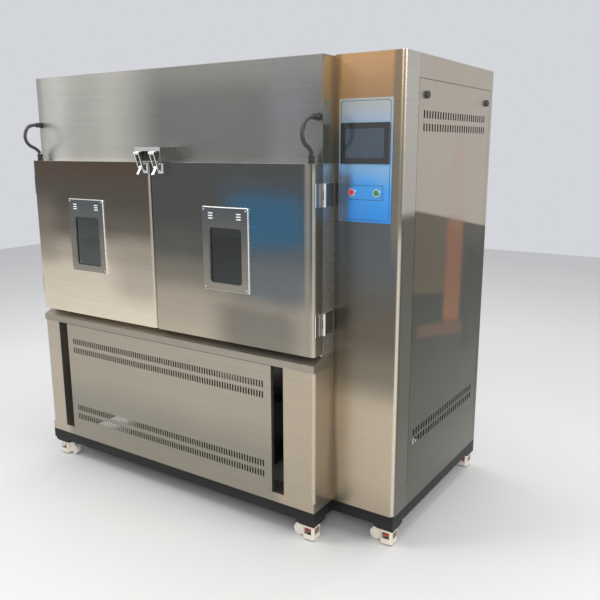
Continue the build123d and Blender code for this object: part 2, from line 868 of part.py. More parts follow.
def make_latch(hand, side):
    x = latch_columns()[hand]
    pivot_y, pivot_z = latch_pivot()
    base_z = (door_top - latch_base_drop - latch_base_height, door_top - latch_base_drop)
    base_y = (door_front_y - latch_base_sheet, door_front_y)
    base = block((x - latch_base_width / 2, x + latch_base_width / 2), base_y, base_z)
    ears = []
    inner = lever_width / 2 + seat
    for direction in (-1, 1):
        ear_x = x + direction * inner
        thickness = direction * latch_ear
        profile = [
            (base_y[0], base_z[0] + latch_ear_nose),
            (pivot_y, pivot_z - latch_ear_nose),
            (pivot_y - latch_ear_nose, pivot_z),
            (pivot_y, pivot_z + latch_ear_nose),
            (base_y[0], base_z[1]),
        ]
        ears.append(side_sheet(profile, min(ear_x, ear_x + thickness), latch_ear))
    pin_start = x - inner - latch_ear
    pin = rod((pin_start, pivot_y, pivot_z), "X", latch_pin_radius, 2 * (inner + latch_ear))
    base = base + ears + pin

    # Two links carry a roller that stands in front of the bracket's lip, at its released place
    link_x = inner + latch_ear
    roller_y = header_front_y - bracket_reach - roller_clear - roller_radius
    lip_low = door_top + bracket_lift + bracket_height - bracket_lip
    roller_z = lip_low - roller_clear - roller_radius
    roller_half = link_x + link_thickness + roller_over
    roller = rod((x - roller_half, roller_y, roller_z), "X", roller_radius, 2 * roller_half)
    rise = math.hypot(roller_y - pivot_y, roller_z - pivot_z)
    up = ((roller_y - pivot_y) / rise, (roller_z - pivot_z) / rise)
    wide = link_width / 2
    outline = [(-wide, -wide / 2), (0, -wide), (rise, -wide), (rise, wide), (0, wide), (-wide, wide / 2)]
    profile = beside((pivot_y, pivot_z), up, outline)
    links = []
    for near in (x - link_x - link_thickness, x + link_x):
        links.append(side_sheet(profile, near, link_thickness))

    slope = math.radians(lever_slope)
    out = (-math.sin(slope), -math.cos(slope))
    half = lever_thickness / 2
    outline = [(0, -half), (lever_length, -half), (lever_length, half), (0, half)]
    blade = side_sheet(beside((pivot_y, pivot_z), out, outline), x - lever_width / 2, lever_width)
    boss = rod((x - lever_width / 2, pivot_y, pivot_z), "X", lever_boss_radius, lever_width)
    bore = rod((x - lever_width, pivot_y, pivot_z), "X", latch_pin_radius + latch_pin_fit, 2 * lever_width)
    keep(side + "_latch_lever", blade + boss - bore)
    return base, roller + links


def make_latch_bracket():
    middle = seam_x + latch_shift + bracket_shift
    x = (middle - bracket_width / 2, middle + bracket_width / 2)
    y = (header_front_y - bracket_reach, header_front_y)
    z = (door_top + bracket_lift, door_top + bracket_lift + bracket_height)
    shell = block(x, y, z)
    inside = block((x[0] + bracket_sheet, x[1] - bracket_sheet), (y[0] - 1, y[1] + 1), (z[0] - 1, z[1] - bracket_sheet))
    lip = block(x, (y[0], y[0] + bracket_sheet), (z[1] - bracket_lip, z[1]))
    tabs = []
    for centre in latch_columns().values():
        tab_x = (centre - bracket_tab_width / 2, centre + bracket_tab_width / 2)
        tabs.append(block(tab_x, (y[0], y[0] + bracket_sheet), (z[1] - bracket_lip - bracket_tab_drop, z[1])))
    keep("latch_bracket", shell - inside + lip + tabs)


def gland_columns():
    return {-1: chamber_left + header_gland_inset, 1: column_left - header_gland_inset}.values()


def make_gland(at, axis, sign):
    # A cable gland: a six-sided nut, a round waist and a six-sided cap, along an axis
    nut = gland_length * 0.3
    cap = gland_length * 0.42
    waist = gland_length - nut - cap
    normal = Vector(0, sign, 0) if axis == "Y" else Vector(0, 0, sign)
    seat_plane = Plane(origin=at, x_dir=(1, 0, 0), z_dir=normal)
    lower = extrude(seat_plane * RegularPolygon(gland_radius, 6), nut)
    neck = extrude(seat_plane.offset(nut) * Circle(gland_radius * 0.8), waist)
    upper = extrude(seat_plane.offset(nut + waist) * RegularPolygon(gland_radius, 6), cap)
    return lower + neck + upper


def door_gland_place(hand):
    side_x = chamber_left if hand < 0 else column_left
    return (side_x - hand * door_gland_inset, header_front_y - door_gland_out, door_top)


def cable_points(hand):
    # The route from the header gland forward, down and back to the door gland
    start_x = (chamber_left if hand < 0 else column_left) - hand * header_gland_inset
    end_x, end_y, end_z = door_gland_place(hand)
    front = header_front_y - gland_length
    level = header_gland_level
    drift = end_x - start_x
    return [
        (start_x, front, level),
        (start_x, front - 38, level),
        (start_x + drift * 0.35, front - 66, level - 28),
        (start_x + drift * 0.5, front - 74, level - 64),
        (start_x + drift * 0.7, front - 56, level - 96),
        (start_x + drift * 0.9, front - 14, level - 112),
        (end_x, end_y, end_z + gland_length + cable_drop),
    ]


def make_cable(name, hand):
    points = [Vector(*point) for point in cable_points(hand)]
    radii = []
    for before, here, after in zip(points, points[1:], points[2:]):
        turn = math.radians((here - before).get_angle(after - here))
        shorter = min((here - before).length, (after - here).length)
        radii.append(0.45 * shorter / math.tan(turn / 2))
    print(name, "bend radii", [round(radius) for radius in radii])
    path = FilletPolyline(*points, radius=radii)
    section = Plane(origin=points[0], z_dir=path % 0) * Circle(cable_diameter / 2)
    tube = sweep(section, path)
    ideal = math.pi * (cable_diameter / 2) ** 2 * path.length
    print(name, "length", round(path.length, 1), "volume over ideal", round(tube.volume / ideal, 4))
    keep(name, tube)


def make_doors_and_fittings():
    fixed_leaves = []
    for hand, side in ((-1, "left"), (1, "right")):
        make_door(hand, side)
        hardware = list(make_latch(hand, side))
        for level in hinge_centres():
            door_half, body_half = make_hinge(hand, level)
            hardware.append(door_half)
            fixed_leaves.append(body_half)
        hardware.append(make_gland(door_gland_place(hand), "Z", 1))
        keep(side + "_door_hardware", *hardware)
        make_cable(side + "_cable", hand)
    keep("fixed_hinge_leaves", *fixed_leaves)
    make_latch_bracket()
    glands = [make_gland((x, header_front_y, header_gland_level), "Y", -1) for x in gland_columns()]
    glands.append(make_gland((column_left - 160, rear_y, rail_top + 110), "Y", 1))
    keep("cable_glands", *glands)


def fan_x():
    return (cavity_left + cavity_right) / 2


def fan_z():
    return (cavity_bottom + cavity_top) / 2


def make_fan(centre, thickness, radius, count, pitch_angle):
    # An axial fan on its shaft, facing along Y
    x, y, z = centre
    hub = rod((x, y, z), "Y", fan_hub_radius, thickness)
    blades = []
    blade_length = radius - fan_hub_radius + 6
    for index in range(count):
        blade = Box(blade_length, 2.5, thickness * 0.9)
        tilted = Rotation(pitch_angle, 0, 0) * blade
        outward = Pos(fan_hub_radius - 4 + blade_length / 2, 0, 0) * tilted
        turned = Rotation(0, index * 360 / count, 0) * outward
        blades.append(Pos(x, y + thickness / 2, z) * turned)
    return hub + blades


def make_air_system():
    x, z = fan_x(), fan_z()
    duct_z = (cavity_bottom + seat, cavity_top - seat)
    duct = block((cavity_left + seat, cavity_right - seat), (duct_front_y, liner_back_y - seat), duct_z)
    inside = block(
        (cavity_left + sheet + seat, cavity_right - sheet - seat),
        (duct_front_y + sheet, liner_back_y),
        (cavity_bottom, cavity_top + 1),
    )
    inlet = rod((x, duct_front_y - 1, z), "Y", fan_radius + 8, sheet + 2)
    outlets = []
    span = (cavity_right - cavity_left) / outlet_count
    outlet_y = (duct_front_y - 1, duct_front_y + sheet + 1)
    outlet_z = (cavity_top - outlet_drop, cavity_top - outlet_drop + outlet_height)
    for index in range(outlet_count):
        start = cavity_left + span * index + outlet_margin
        outlets.append(block((start, start + span - 2 * outlet_margin), outlet_y, outlet_z))
    keep("duct_panel", duct - inside - inlet - outlets)

    fan_y = duct_front_y + 20
    fan = make_fan((x, fan_y, z), fan_thickness, fan_radius, fan_blade_count, 35)
    shaft = rod((x, fan_y + fan_thickness, z), "Y", shaft_radius, insulation_back_y + 30 - fan_y - fan_thickness)
    keep("circulation_fan", fan + shaft)
    motor = rod((x, insulation_back_y, z), "Y", motor_radius, motor_length)
    plate = block((x - 70, x + 70), (insulation_back_y, insulation_back_y + 6), (z - 70, z + 70))
    bore = rod((x, insulation_back_y - 1, z), "Y", shaft_radius + shaft_fit, 32)
    keep("fan_motor", motor + plate - bore)

    shelves = []
    for level in shelf_levels:
        low = cavity_bottom + level
        x_span = (cavity_left + seat, cavity_right - seat)
        y_span = (liner_front_y + shelf_inset + plug_depth, duct_front_y - shelf_inset)
        frame = block(x_span, y_span, (low, low + shelf_bar))
        gap = (y_span[1] - y_span[0] - shelf_bar) / shelf_bar_count
        for index in range(shelf_bar_count):
            start = y_span[0] + shelf_bar + index * gap
            way_y = (start, start + gap - shelf_bar)
            frame -= block((x_span[0] + shelf_bar, x_span[1] - shelf_bar), way_y, (low - 1, low + shelf_bar + 1))
        shelves.append(frame)
    keep("shelves", *shelves)


def condenser_fan_centre():
    return (unit_middle() + coil_offset, door_front_y + condenser_fan_from_front, rail_top + shroud_height / 2)


def unit_middle():
    return chamber_left + chamber_width / 2


def make_condensing_unit():
    # A hermetic compressor and an air-cooled condenser on a tray across the base beams
    floor = rail_top
    middle = unit_middle()
    tray_y = (door_front_y + unit_from_front, rear_y - unit_from_rear)
    tray = block((middle - tray_width / 2, middle + tray_width / 2), tray_y, (floor, floor + tray_thickness))
    on_tray = floor + tray_thickness
    dome_y = (door_front_y + rear_y) / 2
    dome = rod((middle + dome_offset, dome_y, on_tray), "Z", dome_radius, dome_height)
    rims = dome.edges().filter_by(GeomType.CIRCLE).group_by(Axis.Z)[-1]
    dome = chamfer(rims, dome_radius / 3)

    fan_x_place, fan_y, fan_z_place = condenser_fan_centre()
    coil_x = (fan_x_place - shroud_width / 2, fan_x_place + shroud_width / 2)
    shroud_z = (on_tray, floor + shroud_height)
    coil_y = (tray_y[0] + 20, tray_y[0] + 20 + coil_depth)
    shroud_y = (coil_y[1], coil_y[1] + coil_depth)
    coil = block(coil_x, coil_y, shroud_z)
    shroud = block(coil_x, shroud_y, shroud_z)
    hollow = block(
        (coil_x[0] + shroud_wall, coil_x[1] - shroud_wall),
        (shroud_y[0] - 1, shroud_y[1] - shroud_wall),
        (shroud_z[0] + shroud_wall, shroud_z[1] - shroud_wall),
    )
    mouth = rod((fan_x_place, shroud_y[1] - 2 * shroud_wall, fan_z_place), "Y", condenser_fan_radius + 12, 20)
    motor_y = shroud_y[1] + 40
    motor = rod((fan_x_place, motor_y, fan_z_place), "Y", condenser_motor_radius, condenser_motor_length)
    stand_x = (fan_x_place - 20, fan_x_place + 20)
    stand = block(stand_x, (motor_y + 10, motor_y + condenser_motor_length - 10), (on_tray, fan_z_place))
    bore = rod((fan_x_place, motor_y - 1, fan_z_place), "Y", shaft_radius + shaft_fit, shaft_hold + 2)
    keep("condensing_unit", tray, dome, coil, shroud - hollow - mouth, motor + stand - bore)

    fan = make_fan((fan_x_place, fan_y, fan_z_place), fan_thickness, condenser_fan_radius, condenser_blade_count, 30)
    shaft_start = fan_y + fan_thickness
    shaft = rod((fan_x_place, shaft_start, fan_z_place), "Y", shaft_radius, motor_y + shaft_hold - shaft_start)
    keep("condenser_fan", fan + shaft)


def make_castor(number, x, y):
    # Built about its swivel axis with the wheel on the left, then turned as it is parked
    place = Pos(x, y, 0) * Rotation(0, 0, 90 + 90 * castor_trail(x))
    plate_low = castor_height - castor_plate_thickness
    half = castor_plate / 2
    plate = block((-half, half), (-half, half), (plate_low, castor_height))
    bearing = rod((0, 0, plate_low - bearing_thickness), "Z", bearing_radius, bearing_thickness)

    yoke_high = plate_low - bearing_thickness - bearing_gap
    yoke_low = yoke_high - yoke_top_thickness
    wheel_x = -wheel_offset
    wheel_z = wheel_lift + wheel_radius
    cheek_inner = wheel_width / 2 + cheek_gap
    cheek_outer = cheek_inner + cheek_thickness

    # The cast housing: a box with cut corners, hollow below, with a window on three sides
    left = wheel_x + wheel_radius + housing_gap
    reach = housing_reach
    cut = reach - housing_corner
    outline = Polyline(
        (left, -cut),
        (left + housing_corner, -reach),
        (cut, -reach),
        (reach, -cut),
        (reach, cut),
        (cut, reach),
        (left + housing_corner, reach),
        (left, cut),
        close=True,
    )
    face = make_face(outline)
    housing = Pos(0, 0, skirt_lift) * extrude(face, yoke_high - skirt_lift, dir=(0, 0, 1))
    inner = offset(face, -yoke_wall)
    housing -= Pos(0, 0, skirt_lift - 1) * extrude(inner, yoke_low - skirt_lift + 1, dir=(0, 0, 1))
    window_z = (thumbwheel_lift - window_below, thumbwheel_lift + thumbwheel_height + window_above)
    housing -= block((left + housing_corner + 2, cut - 2), (-reach - 1, reach + 1), window_z)
    housing -= block((0, reach + 1), (2 - cut, cut - 2), window_z)

    cheek_profile = Polyline(
        (wheel_x - cheek_nose, wheel_z - cheek_nose),
        (wheel_x + cheek_nose, wheel_z - cheek_nose),
        (left + 1, skirt_lift),
        (left + 1, yoke_high),
        (wheel_x - 4, yoke_high),
        (wheel_x - cheek_nose, yoke_low),
        close=True,
    )
    cheek_face = make_face(Plane.XZ * cheek_profile)
    cheeks = []
    for start in (-cheek_outer, cheek_inner):
        cheeks.append(Pos(0, start, 0) * extrude(cheek_face, cheek_thickness, dir=(0, 1, 0)))
    bridge = block((wheel_x - 4, left + 1), (-cheek_outer, cheek_outer), (yoke_low, yoke_high))
    spindle_hole = rod((0, 0, yoke_low - 1), "Z", spindle_radius + spindle_fit, yoke_top_thickness + 2)
    axle = rod((wheel_x, -cheek_outer - 1, wheel_z), "Y", axle_radius, 2 * cheek_outer + 2)
    keep("castor_yoke_%d" % number, place * (housing + cheeks + bridge - spindle_hole + axle))

    wheel = rod((wheel_x, -wheel_width / 2, wheel_z), "Y", wheel_radius, wheel_width)
    wheel -= rod((wheel_x, -wheel_width, wheel_z), "Y", axle_radius + axle_fit, 2 * wheel_width)
    keep("castor_wheel_%d" % number, place * wheel)

    pad = rod((0, 0, 0), "Z", foot_radius, foot_pad_height)
    spindle = rod((0, 0, foot_pad_height), "Z", spindle_radius, yoke_high - foot_travel - foot_pad_height)
    thumb_plane = Plane(origin=(0, 0, thumbwheel_lift), z_dir=(0, 0, 1))
    thumb = extrude(thumb_plane * RegularPolygon(thumbwheel_radius, thumbwheel_sides), thumbwheel_height)
    keep("levelling_foot_%d" % number, place * (pad + spindle + thumb))
    return place * (plate + bearing)


def build_all():
    make_cabinet()
    make_rear_panel()
    make_lower_frame()
    make_lower_front_panel()
    make_column()
    make_controls()
    make_locks()
    make_doors_and_fittings()
    make_air_system()
    make_condensing_unit()
    plates = [make_castor(number + 1, x, y) for number, (x, y) in enumerate(castor_centres())]
    keep("base_frame", make_base_frame(), *make_uprights(), *plates)


build_all()
os.makedirs("parts", exist_ok=True)
for name, solids in nodes.items():
    shape = solids[0] if len(solids) == 1 else Compound(solids)
    shape.label = name
    export_step(shape, "parts/" + name + ".step")
print(len(nodes), "nodes")
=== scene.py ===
import bpy
import bmesh
import math
from mathutils import Matrix, Vector


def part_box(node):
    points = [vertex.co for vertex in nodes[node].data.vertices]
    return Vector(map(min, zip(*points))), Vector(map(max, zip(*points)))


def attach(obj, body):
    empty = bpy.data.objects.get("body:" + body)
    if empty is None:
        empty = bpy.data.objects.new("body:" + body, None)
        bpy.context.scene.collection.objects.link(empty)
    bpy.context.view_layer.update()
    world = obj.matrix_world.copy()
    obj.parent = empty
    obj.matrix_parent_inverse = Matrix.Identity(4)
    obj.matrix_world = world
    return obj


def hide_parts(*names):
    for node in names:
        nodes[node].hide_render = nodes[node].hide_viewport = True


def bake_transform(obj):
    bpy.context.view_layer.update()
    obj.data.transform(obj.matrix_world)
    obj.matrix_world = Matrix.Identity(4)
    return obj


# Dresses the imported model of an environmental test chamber: cables, small fittings, finishes,
# light and camera. Every length is in metres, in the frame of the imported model.

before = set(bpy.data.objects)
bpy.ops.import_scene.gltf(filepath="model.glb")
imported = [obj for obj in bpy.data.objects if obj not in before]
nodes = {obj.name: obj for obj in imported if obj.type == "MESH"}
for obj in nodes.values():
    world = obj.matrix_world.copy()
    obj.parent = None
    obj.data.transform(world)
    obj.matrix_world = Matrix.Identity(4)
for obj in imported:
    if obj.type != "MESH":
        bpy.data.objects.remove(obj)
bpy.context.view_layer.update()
print("frame loaded with", len(nodes), "nodes")


# Camera, set to the photograph's view
view = {
    "place": (2.0278, -2.65686, 1.5725),
    "turn": 33.567,
    "tilt": 12.44,
    "roll": -0.174,
    "lens": 41.55,
    "sensor": 36.0,
}


def setCamera():
    turn, tilt, roll = (math.radians(view[key]) for key in ("turn", "tilt", "roll"))
    ahead = Vector((-math.sin(turn) * math.cos(tilt), math.cos(turn) * math.cos(tilt), -math.sin(tilt)))
    right = Vector((math.cos(turn), math.sin(turn), 0))
    up = right.cross(ahead)
    side = right * math.cos(roll) + up * math.sin(roll)
    top = up * math.cos(roll) - right * math.sin(roll)
    data = bpy.data.cameras.new("camera")
    data.lens = view["lens"]
    data.sensor_width = view["sensor"]
    data.clip_end = 60
    camera = bpy.data.objects.new("camera", data)
    bpy.context.scene.collection.objects.link(camera)
    camera.matrix_world = Matrix.Translation(view["place"]) @ Matrix((side, top, -ahead)).transposed().to_4x4()
    bpy.context.scene.camera = camera


setCamera()
print("camera set")


# Shader sums: a socket that adds its own Math nodes
class Signal:
    def __init__(self, finish, socket):
        self.finish = finish
        self.socket = socket

    def math(self, operation, first, second):
        return self.finish.node("ShaderNodeMath", {"operation": operation}, {0: first, 1: second})

    def __add__(self, other):
        return self.math("ADD", self, other)

    def __radd__(self, other):
        return self.math("ADD", other, self)

    def __sub__(self, other):
        return self.math("SUBTRACT", self, other)

    def __rsub__(self, other):
        return self.math("SUBTRACT", other, self)

    def __mul__(self, other):
        return self.math("MULTIPLY", self, other)

    def __rmul__(self, other):
        return self.math("MULTIPLY", other, self)


class Finish:
    def __init__(self, name):
        self.material = bpy.data.materials.new(name)
        self.material.use_nodes = True
        self.tree = self.material.node_tree
        self.tree.nodes.clear()
        self.shader = self.tree.nodes.new("ShaderNodeBsdfPrincipled")
        output = self.tree.nodes.new("ShaderNodeOutputMaterial")
        self.tree.links.new(self.shader.outputs[0], output.inputs[0])
        self.place = self.node("ShaderNodeTexCoord", output="Object")

    def node(self, kind, settings=None, sockets=None, output=0):
        made = self.tree.nodes.new(kind)
        for key, value in (settings or {}).items():
            if key == "stops":
                self.fillRamp(made.color_ramp, value)
            else:
                setattr(made, key, value)
        for key, value in (sockets or {}).items():
            self.feed(made.inputs[key], value)
        return Signal(self, made.outputs[output])

    def feed(self, socket, value):
        if isinstance(value, Signal):
            self.tree.links.new(value.socket, socket)
        elif isinstance(value, tuple) and socket.type == "RGBA" and len(value) == 3:
            socket.default_value = (*value, 1)
        else:
            socket.default_value = value

    def fillRamp(self, ramp, stops):
        ramp.interpolation = "EASE"
        for spare in list(ramp.elements)[1:]:
            ramp.elements.remove(spare)
        for index, (where, colour) in enumerate(stops):
            element = ramp.elements[0] if index == 0 else ramp.elements.new(where)
            element.position = where
            element.color = (*colour, 1)

    def axis(self, letter):
        return self.node("ShaderNodeSeparateXYZ", None, {0: self.place}, output="XYZ".index(letter.upper()))

    def leaning(self, letter):
        # How far the surface faces along an axis, from -1 to 1
        normal = self.node("ShaderNodeTexCoord", output="Normal")
        return self.node("ShaderNodeSeparateXYZ", None, {0: normal}, output="XYZ".index(letter.upper()))

    def stretched(self, scales):
        return self.node("ShaderNodeVectorMath", {"operation": "MULTIPLY"}, {0: self.place, 1: scales})

    def noise(self, scales, detail=2.0, roughness=0.5, distortion=0.0):
        sockets = {"Vector": self.stretched(scales), "Scale": 1.0, "Detail": detail}
        sockets.update({"Roughness": roughness, "Distortion": distortion})
        return self.node("ShaderNodeTexNoise", None, sockets)

    def between(self, signal, low, high, smooth=True):
        settings = {"interpolation_type": "SMOOTHSTEP" if smooth else "LINEAR"}
        return self.node("ShaderNodeMapRange", settings, {0: signal, 1: low, 2: high, 3: 0.0, 4: 1.0})

    def window(self, signal, low, high, soft):
        rise = self.between(signal, low - soft, low + soft)
        return rise * (1 - self.between(signal, high - soft, high + soft))

    def mix(self, factor, first, second, mode="MIX"):
        settings = {"data_type": "RGBA", "blend_type": mode}
        return self.node("ShaderNodeMix", settings, {0: factor, 6: first, 7: second}, output=2)

    def shade(self, colour, signal, low, high):
        # Multiplies a colour by a grey that runs from low to high with the signal
        grey = self.node("ShaderNodeMapRange", None, {0: signal, 1: 0.0, 2: 1.0, 3: low, 4: high})
        tint = self.node("ShaderNodeCombineColor", None, {0: grey, 1: grey, 2: grey})
        return self.mix(1.0, colour, tint, "MULTIPLY")

    def ramp(self, signal, stops):
        return self.node("ShaderNodeValToRGB", {"stops": stops}, {0: signal})

    def bump(self, height, strength, distance):
        return self.node("ShaderNodeBump", None, {"Strength": strength, "Distance": distance, "Height": height})

    def set(self, **values):
        names = {
            "colour": "Base Color", "roughness": "Roughness", "metallic": "Metallic", "normal": "Normal",
            "coat": "Coat Weight", "coatRoughness": "Coat Roughness", "ior": "IOR",
            "transmission": "Transmission Weight", "specular": "Specular IOR Level",
        }
        for key, value in values.items():
            self.feed(self.shader.inputs[names[key]], value)
        return self.material


# Brushed stainless sheet. Each surface mirrors other things softly; these are painted reflections,
# its own tones from the floor up and soft-edged patches of painted reflection and shade over them.
grainStretch = {
    "across": (9.0, 9.0, 900.0),
    "up": (900.0, 900.0, 9.0),
}


def brushedSteel(name, look):
    finish = Finish(name)
    x, y, z = (finish.axis(letter) for letter in "xyz")
    where = {"x": x, "y": y, "z": z, "tilt": z + y * 0.16}
    waver = finish.noise(look.get("waverScale", (1.6, 1.6, 2.4)), detail=2.0, distortion=0.6)
    low, high = look.get("span", (0.1, 1.9))
    drift = (waver - 0.5) * look.get("waver", 0.25)
    climb = finish.between(where[look.get("climb", "z")] + drift, low, high, False)
    # The tones and the patches are painted reflections and shade
    colour = finish.ramp(climb, look["tones"])
    for patch in look.get("patches", ()):
        mask = None
        for letter, start, stop, soft in patch["where"]:
            shift = (waver - 0.5) * patch.get("waver", 0.08)
            part = finish.window(where[letter] + shift, start, stop, soft)
            mask = part if mask is None else mask * part
        colour = finish.mix(mask * patch.get("strength", 1.0), colour, patch["colour"])
    if "corner" in look:
        # A glint where a rounded upright corner turns from the front to the right
        turn = finish.leaning("x") * finish.leaning("y") * -2
        glint = finish.window(turn, 0.75, 1.2, 0.2) * finish.window(z, *look["corner"]["height"], 0.06)
        colour = finish.mix(glint * look["corner"]["strength"], colour, look["corner"]["colour"])
    if "flank" in look:
        # Painted reflection on the return at the right hand, in tones that follow the side panel's
        level = finish.between(z, *look["flankSpan"], False)
        flank = finish.between(finish.leaning("x"), 0.75, 0.95)
        colour = finish.mix(flank, colour, finish.ramp(level, look["flank"]))
    if "ledge" in look:
        # Upward faces catch the light from above
        ledge = finish.between(finish.leaning("z"), 0.3, 0.6)
        colour = finish.mix(ledge, colour, look["ledge"])
    if "rim" in look:
        # A painted highlight on the bevel and the edges of a raised frame
        rim = finish.between(finish.leaning("y") * -1, 0.97, 0.75)
        colour = finish.mix(rim, colour, look["rim"])
    stretch = grainStretch[look.get("grain", "across")]
    grain = finish.noise(stretch, detail=3.0, roughness=0.65)
    broad = finish.noise(tuple(scale * 0.14 for scale in stretch), detail=2.0)
    smudge = finish.noise((7.0, 7.0, 7.0), detail=5.0, roughness=0.6, distortion=0.4)
    colour = finish.shade(colour, grain, 0.88, 1.12)
    colour = finish.shade(colour, broad, 0.93, 1.07)
    colour = finish.shade(colour, smudge, 0.95, 1.05)
    rough = look.get("roughness", 0.32)
    roughness = (grain - 0.5) * 0.16 + (smudge - 0.5) * 0.1 + rough
    normal = finish.bump(grain, 0.12, 0.0004)
    return finish.set(colour=colour, roughness=roughness, metallic=look.get("metallic", 0.9), normal=normal)
